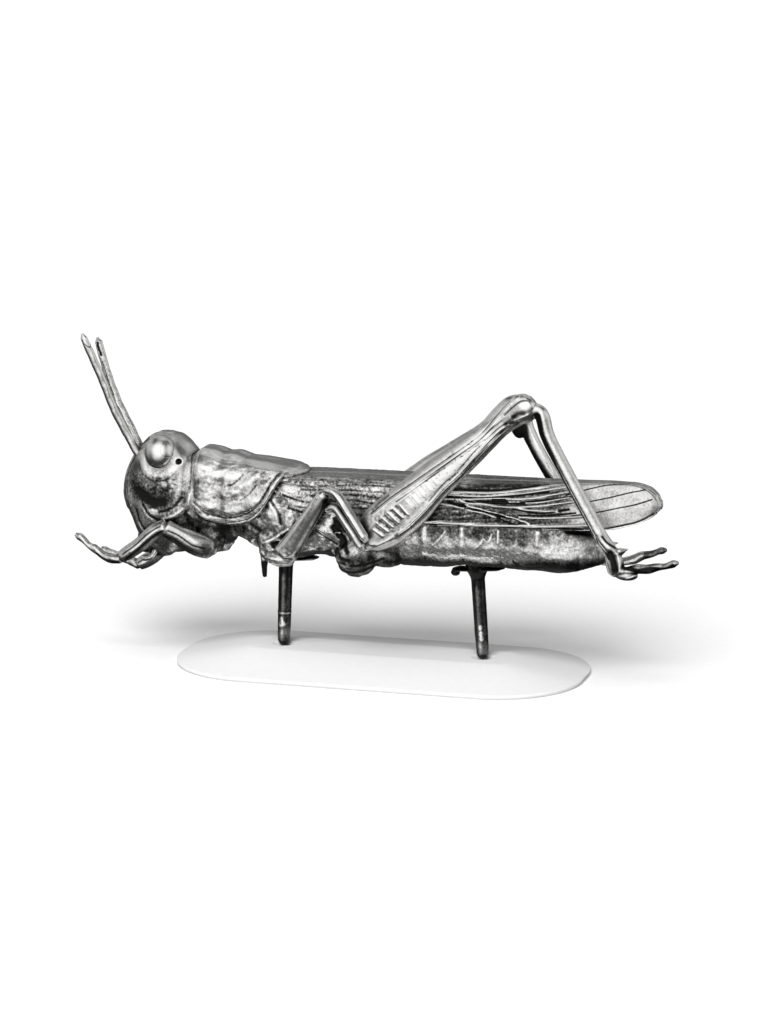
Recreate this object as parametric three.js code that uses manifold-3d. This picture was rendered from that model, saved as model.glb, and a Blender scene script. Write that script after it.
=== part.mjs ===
// A locust cast in white metal, life size, on two fixing pins that stand in a small flat base.
// Millimetres, +Z up. The head looks along -X, and -Y is the insect's left side.
// The origin is the middle of the base's underside.
import * as THREE from 'three';
import { mergeVertices } from 'three/addons/utils/BufferGeometryUtils.js';
import Module from 'manifold-3d';

const wasm = await Module();
wasm.setup();

// ---- driving dimensions ----
const GAP = 0.3;              // between neighbouring pieces
const NECK_X = -28.3;         // front face of the pronotum and thorax
const WAIST_X = 3.4;          // where the thorax ends and the abdomen begins
const DISC_REAR_X = -11.35;   // rear edge of the pronotum's flat top
const ABDOMEN_END_X = 34.9;
const WING_FRONT_X = -16.2;
const WING_TIP_X = 42.2;
const WING_THICK = 0.9;
const WING_SOLID_FROM = 29;   // past this x the two wings fill up to the midline, as cast
const WING_SOLID_BY = 33;
const BASE_LENGTH = 62;
const BASE_WIDTH = 30;
const BASE_THICK = 2.5;
const BASE_CORNER = 13;
const BASE_EDGE = 0.6;        // height of the base's rim, from which its border slopes up
const BASE_SLOPE = 11;
const PIN_RADIUS = 1.06;
const PIN_TIP_Z = 2.0;        // the tips stand half a millimetre down in the base's sockets

const LEFT = -1;
const RIGHT = 1;
const SIDES = { left: LEFT, right: RIGHT };
const REACH = 60;             // from the origin to past every piece

const silver = new THREE.MeshStandardMaterial({ color: 0xb9b7b2, roughness: 0.32, metalness: 1 });
const darkSilver = new THREE.MeshStandardMaterial({ color: 0x6d6b68, roughness: 0.4, metalness: 1 });
const pale = new THREE.MeshStandardMaterial({ color: 0xe4e3e0, roughness: 0.75, metalness: 0 });

// ---- curves through a few rows of sizes ----
// Each row is [t, value, value, ...]; the result follows a smooth curve with no overshoot.
function sizesAt(rows, t) {
  const last = rows.length - 1;
  const inside = Math.min(Math.max(t, rows[0][0]), rows[last][0]);
  let i = 0;
  while (i < last - 1 && inside > rows[i + 1][0]) {
    i += 1;
  }
  const span = rows[i + 1][0] - rows[i][0];
  const f = (inside - rows[i][0]) / span;
  const slope = (at, k) => {
    if (at === 0 || at === last) {
      return 0;
    }
    const before = (rows[at][k] - rows[at - 1][k]) / (rows[at][0] - rows[at - 1][0]);
    const after = (rows[at + 1][k] - rows[at][k]) / (rows[at + 1][0] - rows[at][0]);
    return before * after <= 0 ? 0 : 2 * before * after / (before + after);
  };
  return rows[i].slice(1).map((value, n) => {
    const k = n + 1;
    const next = rows[i + 1][k];
    const rise = (next - value) * f * f * (3 - 2 * f);
    const bend = span * f * (1 - f) * (slope(i, k) * (1 - f) - slope(i + 1, k) * f);
    return value + rise + bend;
  });
}

function steps(from, to, count) {
  return Array.from({ length: count + 1 }, (_, n) => from + (to - from) * n / count);
}

// ---- closed skins ----
function geometryOf(points, index) {
  const geometry = new THREE.BufferGeometry();
  geometry.setAttribute('position', new THREE.Float32BufferAttribute(points.flatMap((p) => p.toArray()), 3));
  geometry.setIndex(index);
  return geometry;
}

// Rings of the same number of points, closed by a fan at each end.
function skin(rings) {
  const sides = rings[0].length;
  const points = rings.flat();
  const index = [];
  for (let r = 0; r + 1 < rings.length; r += 1) {
    for (let s = 0; s < sides; s += 1) {
      const a = r * sides + s;
      const b = r * sides + (s + 1) % sides;
      index.push(a, b, b + sides, a, b + sides, a + sides);
    }
  }
  for (const first of [0, (rings.length - 1) * sides]) {
    const ring = points.slice(first, first + sides);
    const middle = ring.reduce((sum, p) => sum.add(p), new THREE.Vector3()).divideScalar(sides);
    const hub = points.length;
    points.push(middle);
    for (let s = 0; s < sides; s += 1) {
      const a = first + s;
      const b = first + (s + 1) % sides;
      index.push(...(first === 0 ? [b, a, hub] : [a, b, hub]));
    }
  }
  return geometryOf(points, index);
}

// Two grids of points, one for each face of a plate, joined along their edges.
function plate(outer, inner) {
  const columns = outer.length;
  const rows = outer[0].length;
  const points = [...outer.flat(), ...inner.flat()];
  const index = [];
  const quad = (a, b, c, d) => index.push(a, b, c, a, c, d);
  const at = (face, c, r) => face * columns * rows + c * rows + r;
  for (let c = 0; c + 1 < columns; c += 1) {
    for (let r = 0; r + 1 < rows; r += 1) {
      quad(at(0, c, r), at(0, c + 1, r), at(0, c + 1, r + 1), at(0, c, r + 1));
      quad(at(1, c, r + 1), at(1, c + 1, r + 1), at(1, c + 1, r), at(1, c, r));
    }
    quad(at(0, c + 1, 0), at(0, c, 0), at(1, c, 0), at(1, c + 1, 0));
    quad(at(0, c, rows - 1), at(0, c + 1, rows - 1), at(1, c + 1, rows - 1), at(1, c, rows - 1));
  }
  for (let r = 0; r + 1 < rows; r += 1) {
    quad(at(0, 0, r), at(0, 0, r + 1), at(1, 0, r + 1), at(1, 0, r));
    quad(at(0, columns - 1, r + 1), at(0, columns - 1, r), at(1, columns - 1, r), at(1, columns - 1, r + 1));
  }
  return geometryOf(points, index);
}

// ---- solids ----
function volumeOf(position, index) {
  const corner = (n) => new THREE.Vector3().fromBufferAttribute(position, index.getX(n));
  let sum = 0;
  for (let n = 0; n < index.count; n += 3) {
    sum += corner(n).dot(corner(n + 1).cross(corner(n + 2)));
  }
  return sum / 6;
}

function solid(geometry) {
  geometry.deleteAttribute('normal');
  geometry.deleteAttribute('uv');
  const merged = mergeVertices(geometry, 1e-4);
  const triVerts = new Uint32Array(merged.index.array);
  if (volumeOf(merged.attributes.position, merged.index) < 0) {
    for (let n = 0; n < triVerts.length; n += 3) {
      [triVerts[n], triVerts[n + 1]] = [triVerts[n + 1], triVerts[n]];
    }
  }
  const vertProperties = new Float32Array(merged.attributes.position.array);
  return new wasm.Manifold(new wasm.Mesh({ numProp: 3, vertProperties, triVerts }));
}

const joined = (...pieces) => pieces.reduce((whole, piece) => whole.add(piece));
const cut = (whole, ...tools) => tools.reduce((rest, tool) => rest.subtract(tool), whole);

const locust = new THREE.Group();

// Adds the largest closed body of a solid to the model as one named mesh.
function node(name, shape, material = silver) {
  const bodies = shape.decompose();
  const largest = bodies.reduce((best, body) => (body.volume() > best.volume() ? body : best));
  const { vertProperties, triVerts } = largest.getMesh();
  const geometry = new THREE.BufferGeometry();
  geometry.setAttribute('position', new THREE.BufferAttribute(new Float32Array(vertProperties), 3));
  geometry.setIndex(new THREE.BufferAttribute(new Uint32Array(triVerts), 1));
  geometry.computeVertexNormals();
  const mesh = new THREE.Mesh(geometry, material);
  mesh.name = name;
  locust.add(mesh);
}

// ---- lofted bodies ----
// A half section runs from one centre line to the other; the whole section is a smooth closed curve.
function sectionOf(half, perSpan) {
  const mirrored = half.slice(1, -1).reverse().map(([a, b]) => [-a, b]);
  const corners = [...half, ...mirrored].map(([a, b]) => new THREE.Vector3(a, b, 0));
  const curve = new THREE.CatmullRomCurve3(corners, true);
  const count = corners.length * perSpan;
  return Array.from({ length: count }, (_, n) => curve.getPoint(n / count));
}

// Moves a ring's points outward, whichever way round it runs.
function grown(ring, amount) {
  const outward = THREE.ShapeUtils.area(ring) > 0 ? amount : -amount;
  const count = ring.length;
  return ring.map((p, n) => {
    const before = ring[(n + count - 1) % count];
    const along = ring[(n + 1) % count].clone().sub(before).normalize();
    return new THREE.Vector3(p.x + along.y * outward, p.y - along.x * outward, 0);
  });
}

// rows: [t, [a, b], [a, b], ...] half sections; place turns (t, a, b) into a point.
function loft(rows, ticks, place, grow = 0) {
  const flat = rows.map(([t, ...half]) => [t, ...half.flat()]);
  const last = ticks.length - 1;
  const rings = ticks.map((t, n) => {
    const values = sizesAt(flat, t);
    const half = Array.from({ length: values.length / 2 }, (_, k) => [values[2 * k], values[2 * k + 1]]);
    const along = n === 0 ? t - grow : n === last ? t + grow : t;
    return grown(sectionOf(half, 2), grow).map((p) => place(along, p.x, p.y));
  });
  return solid(skin(rings));
}

// ---- limbs ----
// A tapered limb along a smooth path. Rows of sizes: [t, upward, downward, sideways] radii.
function limb(path, sizes, { count = 8, sides = 8, side = LEFT, ridge = () => 0, grow = 0 } = {}) {
  const curve = new THREE.CatmullRomCurve3(path.map((p) => new THREE.Vector3(...p)));
  const across = new THREE.Vector3(0, 1, 0);
  const rings = steps(0, 1, count).map((t, n) => {
    const [up, down, wide] = sizesAt(sizes, t);
    const tangent = curve.getTangent(t);
    const upward = new THREE.Vector3().crossVectors(tangent, across).normalize();
    const outward = new THREE.Vector3().crossVectors(upward, tangent).multiplyScalar(side);
    const middle = curve.getPoint(t);
    const reach = n === 0 ? -grow : n === count ? grow : 0;
    middle.addScaledVector(tangent, reach);
    return Array.from({ length: sides }, (_, s) => {
      const angle = 2 * Math.PI * s / sides;
      const bump = ridge(angle, t, n) + grow;
      const rise = Math.sin(angle);
      const spread = Math.cos(angle);
      const lift = rise * ((rise > 0 ? up : down) + bump);
      const push = spread * (wide + bump);
      return middle.clone().addScaledVector(upward, lift).addScaledVector(outward, push);
    });
  });
  return solid(skin(rings));
}

const round = (rows) => rows.map(([t, r]) => [t, r, r, r]);

function ellipsoid([x, y, z], [rx, ry, rz], grow = 0, tilt = 0) {
  const ball = new THREE.SphereGeometry(1, 12, 7);
  ball.rotateX(Math.PI / 2);
  ball.scale(rx + grow, ry + grow, rz + grow);
  ball.rotateY(tilt);
  ball.translate(x, y, z);
  return solid(ball);
}

function box(x0, x1, y0, y1, z0, z1) {
  const block = new THREE.BoxGeometry(x1 - x0, y1 - y0, z1 - z0);
  block.translate((x0 + x1) / 2, (y0 + y1) / 2, (z0 + z1) / 2);
  return solid(block);
}

// A flat slab with round corners, its underside at z.
function slab(length, width, thick, corner, [x, y, z]) {
  const shape = new THREE.Shape();
  const [l, w] = [length / 2, width / 2];
  shape.moveTo(-l + corner, -w);
  shape.lineTo(l - corner, -w);
  shape.absarc(l - corner, -w + corner, corner, -Math.PI / 2, 0);
  shape.lineTo(l, w - corner);
  shape.absarc(l - corner, w - corner, corner, 0, Math.PI / 2);
  shape.lineTo(-l + corner, w);
  shape.absarc(-l + corner, w - corner, corner, Math.PI / 2, Math.PI);
  shape.lineTo(-l, -w + corner);
  shape.absarc(-l + corner, -w + corner, corner, Math.PI, 1.5 * Math.PI);
  const block = new THREE.ExtrudeGeometry(shape, { depth: thick, bevelEnabled: false, curveSegments: 4 });
  block.translate(x, y, z);
  return solid(block);
}

const vector = (x, y, z) => new THREE.Vector3(x, y, z);

// ---- head ----
// Rows up the head: height, front of the face, back of the skull, half width.
const HEAD_ROWS = [
  [15.0, -36.2, -33.0, 1.5],
  [16.2, -37.0, -31.4, 2.7],
  [18.5, -38.1, -29.6, 3.8],
  [21.0, -39.1, -28.1, 4.4],
  [24.0, -40.2, -27.8, 4.6],
  [27.0, -39.9, -27.8, 4.5],
  [30.0, -38.5, -28.2, 4.1],
  [32.0, -37.2, -29.6, 3.5],
  [33.4, -35.9, -31.1, 2.4],
  [34.0, -34.6, -32.4, 0.9],
];

function head(grow = 0) {
  const rows = HEAD_ROWS.map(([z, front, back, half]) => {
    const length = back - front;
    return [z, [0, front], [half * 0.5, front + length * 0.05], [half * 0.88, front + length * 0.2],
      [half, front + length * 0.5], [half * 0.9, front + length * 0.85], [0, back]];
  });
  const ticks = [15, 15.5, 16.4, 18, 20, 22, 24, 26, 28, 30, 31.2, 32.2, 33, 33.6, 34];
  const skull = loft(rows, ticks, (z, y, x) => vector(x, y, z), grow);
  const features = grow > 0 ? [] : [frontalRidge(), labrum(), ...[LEFT, RIGHT].flatMap(palps)];
  return cut(joined(skull, ...features), box(NECK_X - GAP, REACH, -REACH, REACH, 0, REACH));
}

// The raised keel down the middle of the face.
function frontalRidge() {
  const path = [[-36.2, 0, 32.9], [-38.3, 0, 30.2], [-39.7, 0, 27], [-40.0, 0, 24], [-39.2, 0, 21.2]];
  return limb(path, [[0, 0.3, 0.3, 0.3], [0.15, 0.4, 0.4, 1.4], [0.9, 0.4, 0.4, 1.3], [1, 0.2, 0.2, 0.5]],
    { count: 9, sides: 6 });
}

const labrum = () => ellipsoid([-37.1, 0, 17.3], [1.2, 2.1, 2.2]);

function palps(side) {
  const paths = [
    [[-34.6, side * 2.2, 16.8], [-35.3, side * 2.6, 15.2], [-36.9, side * 2.4, 14.6]],
    [[-35.6, side * 1.2, 16.2], [-36.2, side * 1.4, 14.9], [-37.5, side * 1.3, 14.6]],
  ];
  const sizes = round([[0, 0.5], [0.5, 0.38], [0.9, 0.42], [1, 0.25]]);
  return paths.map((path) => limb(path, sizes, { count: 5, sides: 6 }));
}

const EYES = { left: [-33.6, -3.1, 31.2], right: [-33.6, 3.0, 30.4] };
const EYE_RADII = [2.4, 2.0, 2.65];
const EYE_TILT = 0.15;
const eye = (hand, grow = 0) => ellipsoid(EYES[hand], EYE_RADII, grow, EYE_TILT);

const ANTENNA_PATHS = {
  left: [[-37.0, -1.4, 29.3], [-38.4, -1.6, 31.8], [-40.9, -2.5, 37.0], [-42.8, -3.2, 42.3],
    [-45.45, -4.0, 49.0]],
  right: [[-38.2, 1.5, 30.2], [-39.6, 1.9, 33.0], [-41.9, 2.5, 36.9], [-43.9, 3.1, 41.2],
    [-45.95, 3.8, 47.1]],
};
const ANTENNA_SIZES = [[0, 0.5, 0.5, 0.5], [0.1, 0.64, 0.64, 0.6], [0.5, 0.62, 0.62, 0.5], [0.93, 0.6, 0.6, 0.5],
  [1, 0.62, 0.62, 0.45]];

// ---- pronotum: the saddle behind the head ----
// Rows along it: x, top, edge of the flat top (y, z), half width, height of the widest place.
const PRONOTUM_ROWS = [
  [NECK_X, 31.8, 3.3, 31.0, 4.6, 26.5],
  [-27.2, 32.0, 3.4, 31.2, 4.75, 26.4],
  [-25.6, 31.8, 3.6, 30.8, 4.9, 26.3],
  [-24.0, 31.3, 3.7, 30.4, 4.85, 26.2],
  [-22.6, 31.4, 3.8, 30.3, 5.05, 26.2],
  [-20.5, 30.8, 4.0, 29.95, 5.0, 26.2],
  [-18.4, 30.75, 4.2, 29.85, 5.25, 26.3],
  [-15.0, 30.5, 4.4, 29.85, 5.4, 26.5],
  [-12.8, 30.2, 4.2, 29.7, 5.2, 26.6],
  [DISC_REAR_X, 29.8, 3.9, 29.5, 4.9, 26.6],
];
// The lower and rear edge of its side lobes, seen from the side: x, z.
const LOBE_EDGE = [
  [NECK_X, 23.3], [-26.6, 21.9], [-24.6, 21.4], [-22.6, 21.25], [-20.2, 21.75], [-17.6, 23.3],
  [-15.9, 25.6], [-14.6, 27.9], [-13.7, 28.9], [-12.6, 29.05], [DISC_REAR_X, 29.0],
];
const DISC_ARC = 0.09;
const RIM_RADIUS = 0.38;
const RIM_INSET = 0.3;
const RIM_REAR_X = -13.9;
const SADDLE_TOP = 36;        // past the top and the front of the saddle, for the blocks it is cut with
const FRONT_MARGIN = 4;

function pronotumLoft() {
  const rows = PRONOTUM_ROWS.map(([x, top, edge, edgeZ, half, wideZ]) => [
    x, [0, top], [edge * 0.6, top - 0.05], [edge, edgeZ], [half * 0.94, edgeZ - 1.5], [half, wideZ],
    [half * 0.97, wideZ - 3], [half * 0.8, 20.5], [0, 19.5],
  ]);
  const between = [-26.6, -24.8, -23.3, -21.5, -19.4, -17.0, -16.0, -13.8];
  const ticks = [...PRONOTUM_ROWS.map(([x]) => x), ...between].sort((a, b) => a - b);
  return loft(rows, ticks, vector);
}

// The lobe edge as a smooth line, moved outward (down and back) by an amount.
function lobeEdge(outward, count = 26) {
  const curve = new THREE.CatmullRomCurve3(LOBE_EDGE.map(([x, z]) => new THREE.Vector3(x, 0, z)));
  return steps(0, 1, count).map((t) => {
    const tangent = curve.getTangent(t);
    return curve.getPoint(t).add(new THREE.Vector3(tangent.z, 0, -tangent.x).multiplyScalar(outward));
  });
}

// A block over the saddle's side outline: what lies inside it belongs to the pronotum.
function saddleBlock(outward) {
  const line = lobeEdge(outward);
  const front = NECK_X - (outward > 0 ? FRONT_MARGIN / 2 : 0);
  const rear = DISC_REAR_X + outward;
  const shape = new THREE.Shape();
  shape.moveTo(front, SADDLE_TOP);
  shape.lineTo(front, line[0].z);
  for (const p of line.filter((q) => q.x > front && q.x < rear)) {
    shape.lineTo(p.x, p.z);
  }
  shape.lineTo(rear, line[line.length - 1].z);
  shape.lineTo(rear, SADDLE_TOP);
  const width = 20;
  const block = new THREE.ExtrudeGeometry(shape, { depth: width, bevelEnabled: false });
  block.rotateX(Math.PI / 2);
  block.translate(0, width / 2, 0);
  return solid(block).intersect(discBlock(outward, width));
}

// From above, the saddle's rear edge is an arc that reaches furthest back on the midline.
function discBlock(outward, height) {
  const half = 9;
  const shape = new THREE.Shape();
  shape.moveTo(NECK_X - FRONT_MARGIN, -half);
  for (const y of steps(-half, half, 12)) {
    shape.lineTo(DISC_REAR_X + outward - DISC_ARC * y * y, y);
  }
  shape.lineTo(NECK_X - FRONT_MARGIN, half);
  const block = new THREE.ExtrudeGeometry(shape, { depth: height, bevelEnabled: false });
  block.translate(0, 0, SADDLE_TOP - height);
  return solid(block);
}

function rim(side) {
  const line = lobeEdge(-RIM_INSET, 12).filter((p) => p.x > NECK_X + RIM_INSET && p.x < RIM_REAR_X);
  const path = line.map((p) => {
    const [, , , half, wideZ] = sizesAt(PRONOTUM_ROWS, p.x);
    const drop = (wideZ - p.z) / 6;
    return [p.x, side * (half * (1 - 0.35 * drop * drop) + 0.02), p.z];
  });
  const sizes = round([[0, 0.2], [0.08, RIM_RADIUS], [0.92, RIM_RADIUS], [1, 0.2]]);
  return limb(path, sizes, { count: 14, sides: 6 });
}

// ---- thorax, with the six coxae ----
// Rows along it: x, underside, half width, top.
const THORAX_ROWS = [
  [NECK_X, 18.0, 4.0, 30.0],
  [-26.0, 17.6, 4.3, 30.0],
  [-22.0, 18.7, 4.6, 30.0],
  [-19.0, 17.4, 4.8, 29.6],
  [-14.0, 15.9, 5.0, 28.2],
  [-8.5, 16.7, 5.2, 28.2],
  [-3.0, 15.6, 5.3, 28.2],
  [WAIST_X, 16.0, 5.2, 28.2],
];
// Each coxa runs down and out from the thorax to the root of its femur.
const COXAE = [
  { path: [[-25.6, 2.4, 21.0], [-25.6, 3.2, 18.6], [-25.4, 3.6, 16.4]], radius: 2.1 },
  { path: [[-16.4, 3.4, 20.4], [-15.4, 4.0, 18.0], [-14.6, 4.3, 15.6]], radius: 2.4 },
  { path: [[-2.2, 3.6, 20.0], [-2.8, 4.2, 17.4], [-3.1, 4.4, 14.5]], radius: 3.1 },
];
const COXA_SIZES = [[0, 0.9], [0.45, 1], [0.7, 0.94], [0.88, 0.7], [1, 0.28]];
const COXA_FLATNESS = 0.62;
const SPRUE_PATH = [[-17.5, -2.6, 17.6], [-17.5, -2.8, 15.4], [-17.4, -3.0, 13.2]];
const SPRUE_SIZES = round([[0, 0.7], [0.6, 0.5], [1, 0.3]]);

function thorax(grow = 0) {
  const rows = THORAX_ROWS.map(([x, low, half, top]) => [
    x, [0, top], [half * 0.7, top - 0.3], [half * 0.95, top - 2.2], [half, top - 5],
    [half * 0.95, low + 4.2], [half * 0.72, low + 1], [0, low],
  ]);
  const ticks = [NECK_X, -26, -24, -22, -20.4, -19, -16.5, -14, -11, -8.5, -5.5, -3, 0, WAIST_X];
  const core = loft(rows, ticks, vector, grow);
  const coxae = Object.values(SIDES).flatMap((side) => COXAE.map(({ path, radius }) => {
    const sizes = COXA_SIZES.map(([t, f]) => [t, radius * f, radius * f, radius * f * COXA_FLATNESS]);
    return limb(path.map(([x, y, z]) => [x, side * y, z]), sizes, { count: 7, sides: 10, side, grow });
  }));
  return joined(core, ...coxae);
}

// ---- abdomen ----
// Rows along it: x, underside, half width, top.
const ABDOMEN_ROWS = [
  [WAIST_X + GAP, 16.0, 5.0, 27.6],
  [10, 16.3, 5.0, 27.6],
  [17, 16.6, 4.8, 27.4],
  [22.5, 16.5, 4.5, 27.0],
  [27.2, 16.1, 3.9, 25.2],
  [30.5, 16.8, 3.2, 23.0],
  [33.2, 17.9, 2.1, 21.6],
  [ABDOMEN_END_X, 18.8, 0.7, 20.4],
];
const SEGMENT_RIMS = [7.2, 12.9, 18.8, 25.2, 30.2];
const RIM_RISE = 0.4;
const RIM_HALF = 0.55;

function abdomen(grow = 0) {
  const rows = ABDOMEN_ROWS.map(([x, low, half, top]) => {
    const height = top - low;
    return [x, [0, top], [half * 0.7, top - height * 0.04], [half * 0.96, top - height * 0.22],
      [half, low + height * 0.5], [half * 0.97, low + height * 0.3], [half * 0.66, low + height * 0.06], [0, low]];
  });
  const ticks = [WAIST_X + GAP, 5.6, 10, 15.8, 21.4, 23.4, 28.4, 31.8, 33.2, 34.2, ABDOMEN_END_X];
  const rims = SEGMENT_RIMS.flatMap((x) => [x - RIM_HALF, x, x + RIM_HALF]);
  const all = [...ticks, ...rims].sort((a, b) => a - b);
  const onRim = (x) => (SEGMENT_RIMS.includes(x) ? RIM_RISE : 0);
  const place = (x, y, z) => {
    const [low, , top] = sizesAt(ABDOMEN_ROWS, x);
    const middle = (low + top) / 2;
    const reach = Math.hypot(y, z - middle);
    const scale = 1 + onRim(x) * Math.min(1, Math.abs(y) / 2) / reach;
    return vector(x, y * scale, middle + (z - middle) * scale);
  };
  return loft(rows, all, place, grow);
}

// ---- wings: folded tegmina, each with a crest beside the midline, a sloping roof and a side panel ----
// Rows along them: x, crest (z, y), shoulder (y, z), lower edge (y, z).
const WING_ROWS = [
  [WING_FRONT_X, 28.3, 2.0, 4.1, 28.2, 4.9, 27.4],
  [-14.0, 28.5, 2.0, 4.2, 28.4, 5.2, 25.6],
  [-11.0, 29.0, 2.0, 4.3, 28.7, 5.45, 23.6],
  [-7.0, 29.1, 2.0, 4.4, 28.75, 5.65, 21.1],
  [0, 29.15, 2.0, 4.6, 28.75, 5.8, 21.6],
  [8.5, 29.2, 2.0, 4.7, 28.8, 5.75, 23.2],
  [15.0, 29.3, 1.6, 4.3, 28.95, 5.4, 23.3],
  [25.0, 29.55, 1.0, 2.8, 29.35, 4.4, 23.3],
  [31.0, 29.9, 0.7, 1.5, 29.75, 3.2, 23.2],
  [35.0, 30.05, 0.6, 1.1, 29.95, 2.5, 23.4],
  [38.0, 30.0, 0.6, 1.1, 29.9, 2.0, 24.1],
  [40.2, 29.55, 0.6, 1.1, 29.4, 1.7, 24.9],
  [41.5, 28.6, 0.6, 1.1, 28.4, 1.55, 25.8],
  [WING_TIP_X, 27.6, 0.6, 1.1, 27.4, 1.45, 26.5],
];
const WING_TICKS = [WING_FRONT_X, -14, -11, -8, -5, -2, 1, 4, 7, 10, 13, 16, 19, 22, 25, 28, 31, 33, 35, 37,
  38.8, 40.2, 41.2, 41.9, WING_TIP_X];
const PANEL_ROWS = { fine: 11, plain: 4 };
const VEIN_RISE = 0.22;
const PANEL_BULGE = 0.3;
const ROOF_SLANT = 0.15;

function wing(side, grow = 0) {
  const panelRows = grow > 0 ? PANEL_ROWS.plain : PANEL_ROWS.fine;
  const midline = GAP / 2 - grow;
  const thick = WING_THICK + 2 * grow;
  const last = WING_TICKS.length - 1;
  const faces = WING_TICKS.map((tick, n) => {
    const x = n === 0 ? tick - grow : n === last ? tick + grow : tick;
    const [crestZ, crestY, shoulderY, shoulderZ, lowY, lowZ] = sizesAt(WING_ROWS, tick);
    const crest = [crestY, crestZ + grow];
    const shoulder = [shoulderY + grow, shoulderZ + grow];
    const low = [lowY + grow, lowZ - grow];
    const solidity = THREE.MathUtils.smoothstep(x, WING_SOLID_FROM, WING_SOLID_BY);
    const wide = thick + solidity * lowY;
    const innerTop = [Math.max(midline + 0.02, shoulder[0] - wide), shoulder[1] - thick - ROOF_SLANT];
    const innerLow = [Math.max(midline + 0.02, low[0] - wide * 0.75 - solidity), low[1] + 0.15];
    const underCrest = [(midline + innerTop[0]) / 2, (crest[1] + shoulder[1]) / 2 - thick - ROOF_SLANT / 2];
    const outer = [[midline, crest[1]], crest];
    const inner = [[midline, crest[1] - thick], underCrest];
    const narrow = Math.min(1, (shoulder[1] - low[1]) / 4);
    for (let r = 0; r <= panelRows; r += 1) {
      const f = r / panelRows;
      const vein = grow > 0 || (r % 2 === 0 && r < panelRows) ? VEIN_RISE * narrow : 0;
      const bulge = PANEL_BULGE * narrow * Math.sin(Math.PI * f);
      outer.push([
        shoulder[0] + (low[0] - shoulder[0]) * f + bulge + vein,
        shoulder[1] + (low[1] - shoulder[1]) * f,
      ]);
      inner.push([
        innerTop[0] + (innerLow[0] - innerTop[0]) * f,
        innerTop[1] + (innerLow[1] - innerTop[1]) * f,
      ]);
    }
    const turn = ([y, z]) => vector(x, side * y, z);
    return [outer.map(turn), inner.map(turn)];
  });
  return solid(plate(faces.map((f) => f[0]), faces.map((f) => f[1])));
}

// ---- legs ----
// Each limb has a path of [x, y, z] points and rows of sizes [t, upward, downward, sideways].
const FORE_FEMUR = [[0, 0.6, 0.6, 0.5], [0.12, 1.6, 1.6, 1.2], [0.35, 1.85, 1.75, 1.35], [0.75, 1.4, 1.4, 1.1],
  [0.95, 1.35, 1.35, 1.05], [1, 0.7, 0.7, 0.6]];
const FORE_TIBIA = round([[0, 0.7], [0.06, 1.2], [0.3, 1.15], [0.8, 1.1], [0.95, 0.95], [1, 0.5]]);
const TARSUS = round([[0, 0.5], [0.06, 0.75], [0.3, 0.72], [0.45, 0.58], [0.6, 0.62], [0.78, 0.46], [0.93, 0.55],
  [1, 0.3]]);
const HIND_TARSUS = round([[0, 0.55], [0.1, 0.76], [0.28, 0.56], [0.5, 0.72], [0.7, 0.6], [0.85, 0.45],
  [0.94, 0.55], [1, 0.3]]);
const MID_FEMUR = [[0, 1.1, 1.1, 0.8], [0.1, 1.8, 1.8, 1.15], [0.25, 1.6, 1.6, 1.15], [0.45, 1.4, 1.4, 1.1],
  [0.7, 1.2, 1.2, 1.05], [0.86, 1.05, 1.05, 0.95], [0.95, 0.95, 0.95, 0.85], [1, 0.6, 0.6, 0.5]];
const MID_TIBIA = round([[0, 0.5], [0.08, 0.7], [0.5, 0.68], [0.93, 0.66], [1, 0.4]]);
// The hind femur is deep at its base and tapers to the knee's bulb.
const HIND_FEMUR = [[0, 1.6, 0.7, 0.8], [0.05, 3.4, 1.9, 1.25], [0.14, 4.05, 2.85, 1.45], [0.26, 3.83, 3.0, 1.45],
  [0.42, 3.4, 2.25, 1.25], [0.56, 2.66, 1.9, 1.1], [0.75, 1.84, 1.4, 0.95], [0.84, 2.15, 1.65, 1.05],
  [0.92, 2.28, 2.15, 1.2], [0.98, 1.65, 1.55, 1.0], [1, 0.9, 0.9, 0.6]];
const HIND_TIBIA = [[0, 0.5, 0.5, 0.5], [0.05, 1.05, 1.05, 0.8], [0.15, 1.08, 1.08, 0.8], [0.7, 1.0, 1.0, 0.75],
  [0.8, 0.98, 1.0, 0.75], [0.9, 1.3, 1.4, 0.95], [0.97, 1.2, 1.25, 0.8], [1, 0.7, 0.7, 0.4]];

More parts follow.
